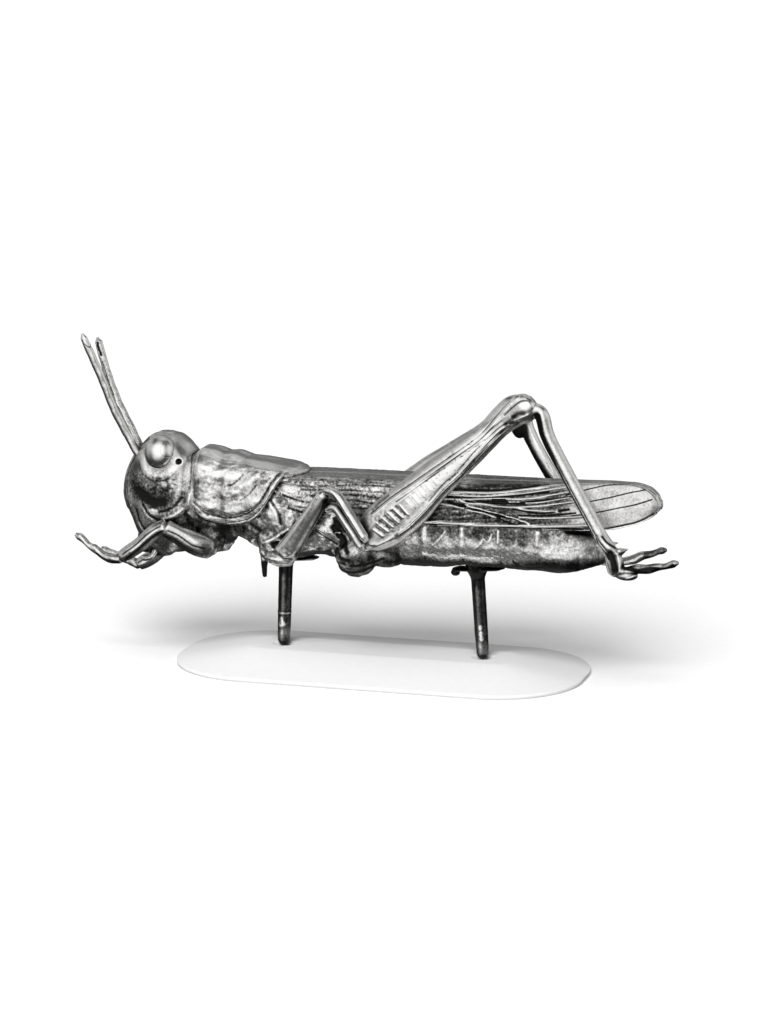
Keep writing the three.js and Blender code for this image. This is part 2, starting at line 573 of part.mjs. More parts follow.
const LEGS = {
  fore: {
    left: {
      femur: [[-24.6, -4.0, 16.9], [-28.4, -5.2, 18.5], [-32.2, -6.0, 20.5]],
      tibia: [[-31.6, -6.0, 20.6], [-33.3, -6.1, 20.0], [-35.9, -6.1, 17.7], [-39.2, -6.1, 15.4]],
      tarsus: [[-38.8, -6.1, 15.4], [-40.6, -6.1, 15.2], [-43.3, -6.0, 16.6], [-46.3, -5.9, 18.8]],
    },
    right: {
      femur: [[-24.6, 4.0, 16.9], [-29.4, 5.0, 16.4], [-34.8, 5.5, 15.4]],
      tibia: [[-34.0, 5.5, 15.8], [-36.0, 5.4, 15.0], [-38.2, 5.3, 13.1], [-40.4, 5.2, 11.8]],
      tarsus: [[-39.9, 5.2, 11.8], [-42.2, 5.1, 12.6], [-46.5, 5.0, 14.3]],
    },
  },
  mid: {
    left: {
      femur: [[-14.5, -4.6, 15.9], [-11.9, -5.8, 19.6], [-8.5, -7.2, 24.5], [-6.4, -8.0, 27.7]],
      tibia: [[-6.5, -8.1, 28.1], [-4.6, -8.5, 27.6], [-2.2, -9.1, 24.7], [0.4, -9.7, 21.1]],
      tarsus: [[-6.5, -7.8, 25.2], [-5.0, -8.1, 25.5], [-2.6, -8.9, 22.9], [-0.2, -9.4, 19.6]],
    },
    right: {
      femur: [[-14.4, 4.6, 15.9], [-12.2, 5.9, 19.5], [-9.6, 7.2, 23.6], [-7.6, 8.0, 26.8]],
      tibia: [[-7.9, 8.1, 26.9], [-6.0, 8.5, 26.4], [-3.6, 9.2, 23.3], [-1.2, 9.8, 19.8]],
      tarsus: [[-7.9, 7.8, 24.0], [-6.4, 8.1, 24.3], [-4.0, 9.0, 21.6], [-1.8, 9.5, 18.3]],
    },
  },
  hind: {
    left: {
      femur: [[-0.6, -7.3, 19.6], [8.0, -7.7, 27.6], [18.6, -8.2, 37.5], [24.9, -8.5, 43.0]],
      tibia: [[24.2, -8.5, 41.8], [25.9, -8.5, 41.2], [27.0, -8.3, 37.8], [31.3, -7.8, 29.7],
        [34.7, -7.3, 23.5], [36.4, -7.2, 21.0], [37.2, -7.2, 17.7]],
      tarsus: [[37.3, -7.2, 18.4], [39.0, -7.2, 18.75], [42.4, -7.2, 19.2], [46.3, -7.2, 20.25]],
    },
    right: {
      femur: [[-4.2, 7.3, 18.8], [4.4, 7.6, 26.1], [12.5, 7.9, 33.4], [19.6, 8.2, 39.8]],
      tibia: [[19.3, 8.2, 38.6], [19.9, 8.1, 35.8], [22.3, 7.9, 31.2], [28.4, 7.3, 22.0], [32.6, 7.0, 16.2]],
      tarsus: [[32.4, 7.0, 16.4], [34.9, 6.9, 16.6], [38.2, 6.8, 17.8], [41.5, 6.7, 18.9]],
    },
  },
};

// One spur at the foot of each hind tibia.
const SPURS = {
  left: [[[36.2, -7.0, 21.2], [37.5, -7.0, 21.3], [38.6, -6.9, 21.7]], round([[0, 0.5], [0.45, 0.6], [1, 0.15]])],
  right: [[[31.9, 6.7, 18.6], [33.0, 6.7, 19.2], [34.2, 6.6, 19.5]], round([[0, 0.45], [0.5, 0.4], [1, 0.14]])],
};
// Swellings cast on some of the limbs: centre and half sizes.
const LUMPS = {
  tarsus_hind_left: [[38.5, -7.2, 17.9], [1.7, 0.7, 0.75]],
  femur_hind_right: [[18.8, 8.1, 36.3], [1.4, 1.0, 2.2]],
};

const LIMB_SHAPES = {
  fore: { femur: [FORE_FEMUR, 7], tibia: [FORE_TIBIA, 9], tarsus: [TARSUS, 12] },
  mid: { femur: [MID_FEMUR, 8], tibia: [MID_TIBIA, 9], tarsus: [MID_TIBIA, 9] },
  hind: { femur: [HIND_FEMUR, 20], tibia: [HIND_TIBIA, 14], tarsus: [HIND_TARSUS, 12] },
};

const FEMUR_SIDES = 16;
const CARINA_RISE = 0.22;
const CHEVRON_RISE = 0.2;

// Two lengthwise carinae on the outer face, with cross ridges between them over the base half.
function femurRidge(angle, t, ring) {
  const row = Math.round(angle / (2 * Math.PI) * FEMUR_SIDES);
  if (row === 2 || row === FEMUR_SIDES - 2) {
    return CARINA_RISE;
  }
  const outerFace = row < 2 || row > FEMUR_SIDES - 2;
  return outerFace && t > 0.08 && t < 0.62 && ring % 2 === 0 ? CHEVRON_RISE : 0;
}

function legPiece(pair, hand, piece, grow = 0) {
  const [sizes, count] = LIMB_SHAPES[pair][piece];
  const deep = pair === 'hind' && piece === 'femur';
  const shape = limb(LEGS[pair][hand][piece], sizes, {
    count,
    sides: deep ? FEMUR_SIDES : 8,
    side: SIDES[hand],
    ridge: deep ? femurRidge : undefined,
    grow,
  });
  const lump = LUMPS[`${piece}_${pair}_${hand}`];
  return lump ? joined(shape, ellipsoid(...lump, grow)) : shape;
}

// ---- fixing pins ----
const PINS = {
  front: {
    top: [-14.95, 0, 16.6],
    tip: [-15.45, 0, PIN_TIP_Z],
    plate: [8, 5.2, 1.9],
    plateAt: [-13.6, 0, 14.9],
  },
  rear: {
    top: [14.45, 0, 17.2],
    tip: [15.5, 0, PIN_TIP_Z],
    plate: [8.4, 3.0, 1.6],
    plateAt: [14.8, 0, 15.3],
  },
};
const PIN_SIZES = round([[0, 1.3], [0.12, 1.25], [0.2, PIN_RADIUS], [0.7, 1.0], [0.84, 0.96], [0.92, 0.93],
  [0.97, 0.68], [1, 0.25]]);
const FLANGE_CORNER = 1.2;

function pinShaft({ top, tip }, grow = 0) {
  const middle = top.map((value, n) => (value + tip[n]) / 2);
  return limb([top, middle, tip], PIN_SIZES, { count: 12, sides: 12, grow });
}

// ---- assembly ----
const body = { head: head(GAP), thorax: thorax(GAP), abdomen: abdomen(GAP) };
const saddleClear = saddleBlock(GAP);
const wingClear = { left: wing(LEFT, GAP), right: wing(RIGHT, GAP) };

node('head', head());
for (const [hand, side] of Object.entries(SIDES)) {
  node(`eye_${hand}`, cut(eye(hand), body.head));
  const shaft = limb(ANTENNA_PATHS[hand], ANTENNA_SIZES, { count: 14, sides: 8, side });
  node(`antenna_${hand}`, cut(shaft, body.head, eye(hand, GAP)));
}

node('pronotum', joined(pronotumLoft().intersect(saddleBlock(0)), rim(LEFT), rim(RIGHT)));

for (const [hand, side] of Object.entries(SIDES)) {
  node(`wing_${hand}`, cut(wing(side), saddleClear));
}

const sprue = limb(SPRUE_PATH, SPRUE_SIZES, { count: 4, sides: 6 });
const sprueClear = limb(SPRUE_PATH, SPRUE_SIZES, { count: 4, sides: 6, grow: GAP });
const beforeNeck = box(-REACH, NECK_X, -REACH, REACH, 0, REACH);
node('thorax', cut(joined(thorax(), sprue), saddleClear, wingClear.left, wingClear.right, beforeNeck));
node('abdomen', cut(abdomen(), wingClear.left, wingClear.right), darkSilver);

for (const hand of Object.keys(SIDES)) {
  const hindClear = legPiece('hind', hand, 'femur', GAP);
  for (const pair of Object.keys(LEGS)) {
    const beside = pair === 'mid' ? [hindClear] : [];
    const femurClear = legPiece(pair, hand, 'femur', GAP);
    const tibiaClear = legPiece(pair, hand, 'tibia', GAP);
    const spurs = pair === 'hind' ? [limb(...SPURS[hand], { count: 3, sides: 6 })] : [];
    const femur = legPiece(pair, hand, 'femur');
    node(`femur_${pair}_${hand}`, cut(femur, body.thorax, wingClear[hand], saddleClear));
    node(`tibia_${pair}_${hand}`, cut(joined(legPiece(pair, hand, 'tibia'), ...spurs), femurClear, ...beside));
    node(`tarsus_${pair}_${hand}`, cut(legPiece(pair, hand, 'tarsus'), tibiaClear, femurClear, ...beside));
  }
}

for (const [name, pin] of Object.entries(PINS)) {
  const [length, width, thick] = pin.plate;
  const flange = slab(length, width, thick, FLANGE_CORNER, pin.plateAt);
  const carrier = name === 'front' ? body.thorax : body.abdomen;
  node(`pin_${name}`, cut(joined(pinShaft(pin), flange), carrier, sprueClear), darkSilver);
}

const foot = slab(BASE_LENGTH, BASE_WIDTH, BASE_EDGE, BASE_CORNER, [0, 0, 0]);
const plateau = slab(BASE_LENGTH - 2 * BASE_SLOPE, BASE_WIDTH - 2 * BASE_SLOPE, BASE_THICK,
  BASE_CORNER - BASE_SLOPE, [0, 0, 0]);
const blank = wasm.Manifold.hull([foot, plateau]);
node('stand_base', cut(blank, pinShaft(PINS.front, GAP), pinShaft(PINS.rear, GAP)), pale);

export default locust;
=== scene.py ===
"""A locust cast in white metal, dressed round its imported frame.

Lengths are millimetres in the frame's own axes, and build_piece turns them into metres. The head looks along
-X, and -Y is the insect's left side. The tables of sizes repeat those of the solids, so each piece lies on
its node.
"""
import math
from itertools import product

import bpy
import numpy as np
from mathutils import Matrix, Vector


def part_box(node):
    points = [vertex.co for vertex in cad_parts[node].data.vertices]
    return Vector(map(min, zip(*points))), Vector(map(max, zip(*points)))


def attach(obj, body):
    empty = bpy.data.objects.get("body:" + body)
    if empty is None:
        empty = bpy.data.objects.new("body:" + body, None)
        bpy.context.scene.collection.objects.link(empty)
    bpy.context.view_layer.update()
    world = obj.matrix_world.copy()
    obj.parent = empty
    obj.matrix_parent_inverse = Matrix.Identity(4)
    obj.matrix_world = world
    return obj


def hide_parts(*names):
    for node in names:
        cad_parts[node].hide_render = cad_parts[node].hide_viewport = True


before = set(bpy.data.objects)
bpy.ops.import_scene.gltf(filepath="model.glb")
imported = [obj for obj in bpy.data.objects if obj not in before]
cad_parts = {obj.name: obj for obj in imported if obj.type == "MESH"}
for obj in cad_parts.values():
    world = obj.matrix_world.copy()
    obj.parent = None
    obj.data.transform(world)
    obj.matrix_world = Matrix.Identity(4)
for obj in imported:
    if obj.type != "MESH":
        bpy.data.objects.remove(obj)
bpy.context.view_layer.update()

MM = 0.001
LEFT, RIGHT = -1, 1
SIDES = {"left": LEFT, "right": RIGHT}

# ---- driving sizes, as in the solids ----
NECK_X = -28.3
WAIST_X = 3.4
DISC_REAR_X = -11.35
DISC_ARC = 0.09
FLANK_MIDDLE_Z = 26.5
INNER_FOOT_Z = 19.5
NECK_SHRINK = 0.07
RIM_RADIUS = 0.38
RIM_INSET = 0.3
RIM_REAR_X = -13.7
WING_FRONT_X = -16.2
WING_TIP_X = 42.1
WING_THICK = 0.9
WING_INNER_MARGIN = 0.15
WING_SOLID_FROM = 29
WING_SOLID_BY = 33
HALF_GAP = 0.15
PANEL_BULGE = 0.3
PIN_RADIUS = 1.06
PIN_TIP_Z = 2.0
BASE_CORNER = 13.0
BASE_EDGE = 0.6
BASE_SLOPE = 11.0
SOCKET_DEPTH = 0.55
SOCKET_FLOOR = 0.9
SOCKET_MOUTH = 1.7

# Rows up the head: height, front of the face, back of the skull, half width.
HEAD_ROWS = [
    [15.0, -36.2, -33.0, 1.5],
    [16.2, -37.0, -31.4, 2.7],
    [18.5, -38.1, -29.6, 3.8],
    [21.0, -39.1, -28.1, 4.4],
    [24.0, -40.2, -27.8, 4.6],
    [27.0, -39.9, -27.8, 4.5],
    [30.0, -38.5, -28.2, 4.1],
    [32.0, -37.2, -29.6, 3.5],
    [33.4, -35.9, -31.1, 2.4],
    [34.0, -34.6, -32.4, 0.9],
]
EYES = {"left": (-33.6, -3.1, 31.2), "right": (-33.6, 3.0, 30.4)}
EYE_RADII = (2.4, 2.0, 2.65)
EYE_TILT = 0.15
FACE_KEEL = [[-36.2, 0, 32.9], [-38.3, 0, 30.2], [-39.7, 0, 27], [-40.0, 0, 24], [-39.2, 0, 21.2]]
FACE_KEEL_SIZES = [[0, 0.3, 0.3, 0.3], [0.15, 0.4, 0.4, 1.4], [0.9, 0.4, 0.4, 1.3], [1, 0.2, 0.2, 0.5]]
LIP = [[-37.1, 0, 17.3], [1.2, 2.1, 2.2]]
PALPS = [[[-34.6, 2.2, 16.8], [-35.3, 2.6, 15.2], [-36.9, 2.4, 14.6]],
         [[-35.6, 1.2, 16.2], [-36.2, 1.4, 14.9], [-37.5, 1.3, 14.6]]]
# Rows along the neck, in the groove between the head and the saddle: x, top, half width.
NECK_ROWS = [[-31.0, 31.2, 3.6], [-29.3, 31.0, 4.2], [-27.5, 31.2, 4.45]]

# Rows along the pronotum: x, top, edge of the flat top (y, z), half width, height of the widest place.
PRONOTUM_ROWS = [
    [NECK_X, 31.8, 3.3, 31.0, 4.6, 26.5],
    [-27.2, 32.0, 3.4, 31.2, 4.75, 26.4],
    [-25.6, 31.8, 3.6, 30.8, 4.9, 26.3],
    [-24.0, 31.3, 3.7, 30.4, 4.85, 26.2],
    [-22.6, 31.4, 3.8, 30.3, 5.05, 26.2],
    [-20.5, 30.8, 4.0, 29.95, 5.0, 26.2],
    [-18.4, 30.65, 4.2, 29.85, 5.25, 26.3],
    [-15.0, 30.15, 4.4, 29.65, 5.4, 26.5],
    [-12.8, 29.8, 4.2, 29.45, 5.2, 26.6],
    [DISC_REAR_X, 29.4, 3.9, 29.2, 4.9, 26.6],
]
# The lower and rear edge of its side lobes, seen from the side: x, z.
LOBE_EDGE = [
    [NECK_X, 23.3], [-26.6, 21.9], [-24.6, 21.4], [-22.6, 21.25], [-20.2, 21.75], [-17.6, 23.3],
    [-15.9, 25.6], [-14.6, 27.9], [-13.7, 28.9], [-12.6, 29.05], [DISC_REAR_X, 29.0],
]
# Rows along the thorax: x, underside, half width, top.
THORAX_ROWS = [
    [NECK_X, 18.0, 4.0, 30.0],
    [-26.0, 17.6, 4.3, 30.0],
    [-22.0, 18.7, 4.6, 30.0],
    [-19.0, 17.4, 4.8, 29.6],
    [-14.0, 15.9, 5.0, 28.2],
    [-8.5, 16.7, 5.2, 28.2],
    [-3.0, 15.6, 5.3, 28.2],
    [WAIST_X, 16.0, 5.2, 28.2],
]
COXAE = [
    {"path": [[-25.6, 2.4, 21.0], [-25.6, 3.2, 18.6], [-25.4, 3.6, 16.4]], "radius": 2.1},
    {"path": [[-16.4, 3.4, 20.4], [-15.4, 4.0, 18.0], [-14.6, 4.3, 15.6]], "radius": 2.4},
    {"path": [[-2.2, 3.6, 20.0], [-2.8, 4.2, 17.4], [-3.1, 4.4, 14.5]], "radius": 3.1},
]
COXA_SIZES = [[0, 0.9], [0.45, 1], [0.7, 0.94], [0.88, 0.7], [1, 0.28]]
COXA_FLATNESS = 0.62
# Lumps are a centre and half sizes. The hips lie between the last coxae and the abdomen. The bed carries the
# rear end of the saddle's flat top on the wings' roof.
HIP = [[0.4, 3.6, 17.9], [3.6, 1.6, 1.8]]
HIP_TILT = 0.2
DISC_BED = [[-14.4, 0, 28.35], [3.2, 4.95, 1.05]]
SPRUE_PATH = [[-17.5, -2.6, 17.6], [-17.5, -2.8, 15.4], [-17.4, -3.0, 13.2]]
SPRUE_SIZES = [[0, 0.7, 0.7, 0.7], [0.6, 0.5, 0.5, 0.5], [1, 0.3, 0.3, 0.3]]

# Rows along the abdomen: x, underside, half width, top.
ABDOMEN_ROWS = [
    [2.0, 16.0, 5.0, 27.6],
    [10, 16.3, 5.0, 27.6],
    [17, 16.6, 4.8, 27.4],
    [22.5, 16.5, 4.5, 27.0],
    [27.2, 16.1, 3.9, 25.2],
    [30.5, 16.8, 3.2, 23.0],
    [33.2, 17.9, 2.1, 21.6],
    [34.9, 18.8, 0.7, 20.4],
]

# Rows along the wings: x, crest z, its half width, shoulder (y, z), lower edge (y, z).
WING_ROWS = [
    [WING_FRONT_X, 28.4, 2.0, 4.2, 28.3, 4.9, 27.4],
    [-14.0, 28.8, 2.0, 4.3, 28.7, 5.2, 25.6],
    [-11.0, 28.95, 2.0, 4.35, 28.75, 5.45, 23.6],
    [-7.0, 29.1, 2.0, 4.4, 28.75, 5.65, 21.1],
    [0, 29.15, 2.0, 4.6, 28.75, 5.8, 21.6],
    [8.5, 29.2, 2.0, 4.7, 28.8, 5.75, 23.2],
    [15.0, 29.3, 1.6, 4.3, 28.95, 5.4, 23.3],
    [25.0, 29.55, 1.0, 2.8, 29.35, 4.4, 23.3],
    [31.0, 29.9, 0.7, 1.5, 29.75, 3.2, 23.2],
    [35.0, 30.05, 0.6, 1.1, 29.95, 2.5, 23.4],
    [38.0, 30.0, 0.6, 1.1, 29.9, 2.0, 24.1],
    [40.2, 29.55, 0.6, 1.0, 29.4, 1.55, 24.9],
    [41.5, 28.6, 0.6, 0.85, 28.4, 1.15, 25.8],
    [WING_TIP_X, 27.6, 0.5, 0.65, 27.4, 0.8, 26.5],
]

ANTENNA_PATHS = {
    "left": [[-37.0, -1.4, 29.3], [-38.4, -1.6, 31.8], [-40.9, -2.5, 37.0], [-42.8, -3.2, 42.3],
             [-45.4, -4.0, 48.8]],
    "right": [[-38.2, 1.5, 30.2], [-39.6, 1.9, 33.0], [-41.9, 2.5, 36.9], [-43.9, 3.1, 41.2],
              [-45.9, 3.8, 47.0]],
}
ANTENNA_SIZES = [[0, 0.5, 0.5, 0.5], [0.1, 0.64, 0.64, 0.6], [0.5, 0.62, 0.62, 0.5], [0.93, 0.6, 0.6, 0.5],
                 [0.97, 0.58, 0.58, 0.45], [1, 0.22, 0.22, 0.2]]


def round_sizes(rows):
    return [[t, r, r, r] for t, r in rows]


# Each limb has a path of [x, y, z] points and rows of sizes [t, upward, downward, sideways].
FORE_FEMUR = [[0, 0.6, 0.6, 0.5], [0.12, 1.6, 1.6, 1.2], [0.35, 1.85, 1.75, 1.35], [0.75, 1.4, 1.4, 1.1],
              [0.95, 1.35, 1.35, 1.05], [1, 0.7, 0.7, 0.6]]
FORE_TIBIA = round_sizes([[0, 0.7], [0.06, 1.2], [0.3, 1.15], [0.8, 1.1], [0.95, 0.95], [1, 0.5]])
TARSUS = round_sizes([[0, 0.5], [0.06, 0.75], [0.3, 0.72], [0.45, 0.58], [0.6, 0.62], [0.78, 0.46],
                      [0.93, 0.55], [1, 0.3]])
HIND_TARSUS = round_sizes([[0, 0.55], [0.1, 0.76], [0.28, 0.56], [0.5, 0.72], [0.7, 0.6], [0.85, 0.45],
                           [0.94, 0.55], [1, 0.3]])
MID_FEMUR = [[0, 0.4, 0.4, 0.3], [0.06, 1.35, 1.35, 0.9], [0.15, 1.8, 1.8, 1.2], [0.3, 1.6, 1.6, 1.15],
             [0.45, 1.4, 1.4, 1.1], [0.7, 1.2, 1.2, 1.05], [0.86, 1.05, 1.05, 0.95], [0.95, 0.95, 0.95, 0.85],
             [1, 0.6, 0.6, 0.5]]
MID_TIBIA = round_sizes([[0, 0.5], [0.08, 0.7], [0.5, 0.68], [0.93, 0.66], [1, 0.4]])
HIND_FEMUR = [[0, 1.6, 0.7, 0.8], [0.05, 3.4, 1.9, 1.25], [0.14, 4.05, 2.85, 1.45], [0.26, 3.83, 3.0, 1.45],
              [0.42, 3.4, 2.25, 1.25], [0.56, 2.66, 1.9, 1.1], [0.75, 1.84, 1.4, 0.95],
              [0.84, 2.15, 1.65, 1.05], [0.92, 2.28, 2.15, 1.2], [0.98, 1.65, 1.55, 1.0], [1, 0.9, 0.9, 0.6]]
HIND_TIBIA = [[0, 0.5, 0.5, 0.5], [0.05, 1.05, 1.05, 0.8], [0.15, 1.08, 1.08, 0.8], [0.7, 1.0, 1.0, 0.75],
              [0.8, 0.98, 1.0, 0.75], [0.9, 1.3, 1.4, 0.95], [0.97, 1.2, 1.25, 0.8], [1, 0.7, 0.7, 0.4]]
LEGS = {
    "fore": {
        "left": {
            "femur": [[-24.6, -4.0, 16.9], [-28.4, -5.2, 18.5], [-32.2, -6.0, 20.5]],
            "tibia": [[-31.6, -6.0, 20.6], [-33.3, -6.1, 20.0], [-35.9, -6.1, 17.7], [-39.2, -6.1, 15.4]],
            "tarsus": [[-38.8, -6.1, 15.4], [-40.6, -6.1, 15.2], [-43.3, -6.0, 16.6], [-46.2, -5.9, 18.7]],
        },
        "right": {
            "femur": [[-24.6, 4.0, 16.9], [-29.4, 5.0, 16.4], [-34.8, 5.5, 15.4]],
            "tibia": [[-34.0, 5.5, 15.8], [-36.0, 5.4, 15.0], [-38.2, 5.3, 13.1], [-40.4, 5.2, 11.8]],
            "tarsus": [[-39.9, 5.2, 11.8], [-42.2, 5.1, 12.6], [-46.2, 5.0, 14.2]],
        },
    },
    "mid": {
        "left": {
            "femur": [[-14.7, -4.9, 15.8], [-11.9, -5.8, 19.6], [-8.5, -7.2, 24.5], [-6.4, -8.0, 27.7]],
            "tibia": [[-6.5, -8.1, 28.1], [-4.6, -8.5, 27.6], [-2.2, -9.1, 24.7], [0.4, -9.7, 21.1]],
            "tarsus": [[-6.5, -7.8, 25.2], [-5.0, -8.1, 25.5], [-2.6, -8.9, 22.9], [-0.2, -9.4, 19.6]],
        },
        "right": {
            "femur": [[-14.6, 4.9, 15.8], [-12.2, 5.9, 19.5], [-9.6, 7.2, 23.6], [-7.6, 8.0, 26.8]],
            "tibia": [[-7.9, 8.1, 26.9], [-6.0, 8.5, 26.4], [-3.6, 9.2, 23.3], [-1.2, 9.8, 19.8]],
            "tarsus": [[-7.9, 7.8, 24.0], [-6.4, 8.1, 24.3], [-4.0, 9.0, 21.6], [-1.8, 9.5, 18.3]],
        },
    },
    "hind": {
        "left": {
            "femur": [[-0.6, -7.3, 19.6], [8.0, -7.7, 27.6], [18.6, -8.2, 37.5], [24.9, -8.5, 43.0]],
            "tibia": [[24.2, -8.5, 41.8], [25.9, -8.5, 41.2], [27.0, -8.3, 37.8], [31.3, -7.8, 29.7],
                      [34.7, -7.3, 23.5], [36.4, -7.2, 21.0], [37.2, -7.2, 17.7]],
            "tarsus": [[37.3, -7.2, 18.4], [39.0, -7.2, 18.75], [42.4, -7.2, 19.2], [46.1, -7.2, 20.2]],
        },
        "right": {
            "femur": [[-4.2, 7.3, 18.8], [4.4, 7.6, 26.1], [12.5, 7.9, 33.4], [19.6, 8.2, 39.8]],
            "tibia": [[19.3, 8.2, 38.6], [19.9, 8.1, 35.8], [22.3, 7.9, 31.2], [28.4, 7.3, 22.0],
                      [32.6, 7.0, 16.2]],
            "tarsus": [[32.4, 7.0, 16.4], [34.9, 6.9, 16.6], [38.2, 6.8, 17.8], [41.5, 6.7, 18.9]],
        },
    },
}
LIMB_SIZES = {
    "fore": {"femur": FORE_FEMUR, "tibia": FORE_TIBIA, "tarsus": TARSUS},
    "mid": {"femur": MID_FEMUR, "tibia": MID_TIBIA, "tarsus": MID_TIBIA},
    "hind": {"femur": HIND_FEMUR, "tibia": HIND_TIBIA, "tarsus": HIND_TARSUS},
}
SPURS = {
    "left": [[36.2, -7.0, 21.2], [37.5, -7.0, 21.3], [38.6, -6.9, 21.7]],
    "right": [[31.9, 6.7, 18.6], [33.0, 6.7, 19.2], [34.2, 6.6, 19.5]],
}
SPUR_SIZES = {"left": round_sizes([[0, 0.5], [0.45, 0.6], [1, 0.15]]),
              "right": round_sizes([[0, 0.45], [0.5, 0.4], [1, 0.14]])}
# Lumps of the legs: the near hind foot's heel, the far hind knee, and the roots of the middle legs.
HEEL = [[38.5, -7.2, 17.9], [1.7, 0.7, 0.75]]
FAR_KNEE = [[18.8, 8.1, 36.3], [1.4, 1.0, 2.2]]
MID_ROOTS = [[[-14.4, 5.3, 16.7], [2.3, 1.2, 1.2]], [[-13.5, 5.2, 17.7], [1.7, 1.15, 1.5]]]
MID_ROOT_TILT = 0.2

PINS = {
    "front": {"top": [-14.95, 0, 16.6], "tip": [-15.45, 0, PIN_TIP_Z], "half_width": 1.2,
              "plate": [[-17.2, 0, 15.6], [-13.6, 0, 15.65], [-9.9, 0, 16.0]]},
    "rear": {"top": [14.45, 0, 17.2], "tip": [15.5, 0, PIN_TIP_Z], "half_width": 1.5,
             "plate": [[10.8, 0, 15.65], [14.6, 0, 15.8], [18.7, 0, 16.2]]},
}
PIN_FOOT = [[0.7, 1.0], [0.84, 0.96], [0.92, 0.93], [0.97, 0.68], [1, 0.25]]
PIN_SIZES = {"front": round_sizes([[0, 1.2], [0.2, PIN_RADIUS], *PIN_FOOT]),
             "rear": round_sizes([[0, 1.8], [0.1, 1.55], [0.2, 1.03], *PIN_FOOT])}
PLATE_HALF = 0.33
PLATE_END = 0.15
PLATE_HOOK = [[11.3, -0.3, 15.15], [0.7, 0.6, 0.55]]
# How wide the voxels are that fuse each kind of piece.
VOXELS = {"body": 0.16, "leg": 0.1, "pin": 0.11}


# ---- curves ----
def rows_at(rows, t):
    """The values of a table of rows (t, value, ...) at many t, on a smooth curve with no overshoot."""
    rows = np.asarray(rows, float)
    ticks, values = rows[:, 0], rows[:, 1:]
    t = np.clip(np.atleast_1d(np.asarray(t, float)), ticks[0], ticks[-1])
    i = np.clip(np.searchsorted(ticks, t, side="right") - 1, 0, len(ticks) - 2)
    step = np.diff(ticks)[:, None]
    slopes = np.diff(values, axis=0) / step
    before, after = slopes[:-1], slopes[1:]
    rising = before * after > 0
    total = np.where(rising, before + after, 1)
    inner = np.where(rising, 2 * before * after / total, 0)
    ends = np.zeros((1, values.shape[1]))
    slope = np.vstack([ends, inner, ends])
    f = (t - ticks[i])[:, None] / step[i]
    rise = (values[i + 1] - values[i]) * f * f * (3 - 2 * f)
    bend = step[i] * f * (1 - f) * (slope[i] * (1 - f) - slope[i + 1] * f)
    return values[i] + rise + bend


def curve_through(points, t, closed=False):
    """Places on a centripetal Catmull-Rom curve through points (..., count, dimensions), at t from 0 to 1."""
    p = np.asarray(points, float)
    if closed:
        padded = np.concatenate([p[..., -1:, :], p, p[..., :2, :]], -2)
        spans = p.shape[-2]
    else:
        first = 2 * p[..., :1, :] - p[..., 1:2, :]
        last = 2 * p[..., -1:, :] - p[..., -2:-1, :]
        padded = np.concatenate([first, p, last], -2)
        spans = p.shape[-2] - 1
    at = np.clip(np.asarray(t, float) * spans, 0, spans - 1e-9)
    i = at.astype(int)
    f = (at - i)[:, None]
    p0, p1, p2, p3 = (padded[..., i + k, :] for k in range(4))

    def reach(a, b):
        return np.maximum(np.linalg.norm(b - a, axis=-1, keepdims=True), 1e-6) ** 0.5

    d0, d1, d2 = reach(p0, p1), reach(p1, p2), reach(p2, p3)
    m1 = ((p1 - p0) / d0 - (p2 - p0) / (d0 + d1) + (p2 - p1) / d1) * d1
    m2 = ((p2 - p1) / d1 - (p3 - p1) / (d1 + d2) + (p3 - p2) / d2) * d1
    return ((2 * f ** 3 - 3 * f ** 2 + 1) * p1 + (f ** 3 - 2 * f ** 2 + f) * m1
            + (3 * f ** 2 - 2 * f ** 3) * p2 + (f ** 3 - f ** 2) * m2)


def smooth_line(points, count):
    return curve_through(points, np.linspace(0, 1, count))


def smooth_step(low, high, value):
    f = np.clip((value - low) / (high - low), 0, 1)
    return f * f * (3 - 2 * f)


def bump_at(value, width):
    """1 where value is 0, falling smoothly to nothing a few widths away."""
    return np.exp(-(value / width) ** 2)


# ---- noise ----
HASH_PRIMES = (73856093, 19349663, 83492791)
HASH_MIXER = 1274126177
SEED_SHIFT = 37.1


def noise(points, scale, seed=0):
    """Smooth noise between -1 and 1, with features about scale across."""
    p = points / scale + SEED_SHIFT * seed
    cell = np.floor(p).astype(np.int64)
    f = p - cell
    near = f * f * f * (f * (f * 6 - 15) + 10)
    total = np.zeros(len(points))
    for corner in product((0, 1), repeat=3):
        x, y, z = ((cell + corner) * HASH_PRIMES).T
        mixed = x ^ y ^ z
        mixed = (mixed ^ (mixed >> 13)) * HASH_MIXER & 0xFFFFFFFF
        value = ((mixed ^ (mixed >> 15)) & 0xFFFF) / 32767.5 - 1
        total += value * np.prod(np.where(corner, near, 1 - near), axis=1)
    return total


def rough(points, scale, seed=0, octaves=3):
    """Several sizes of noise together."""
    return sum(noise(points, scale / 2 ** k, seed + k) / 1.7 ** k for k in range(octaves))


# ---- surfaces ----
SMOOTHING = 0.6
REGROWTH = 0.63


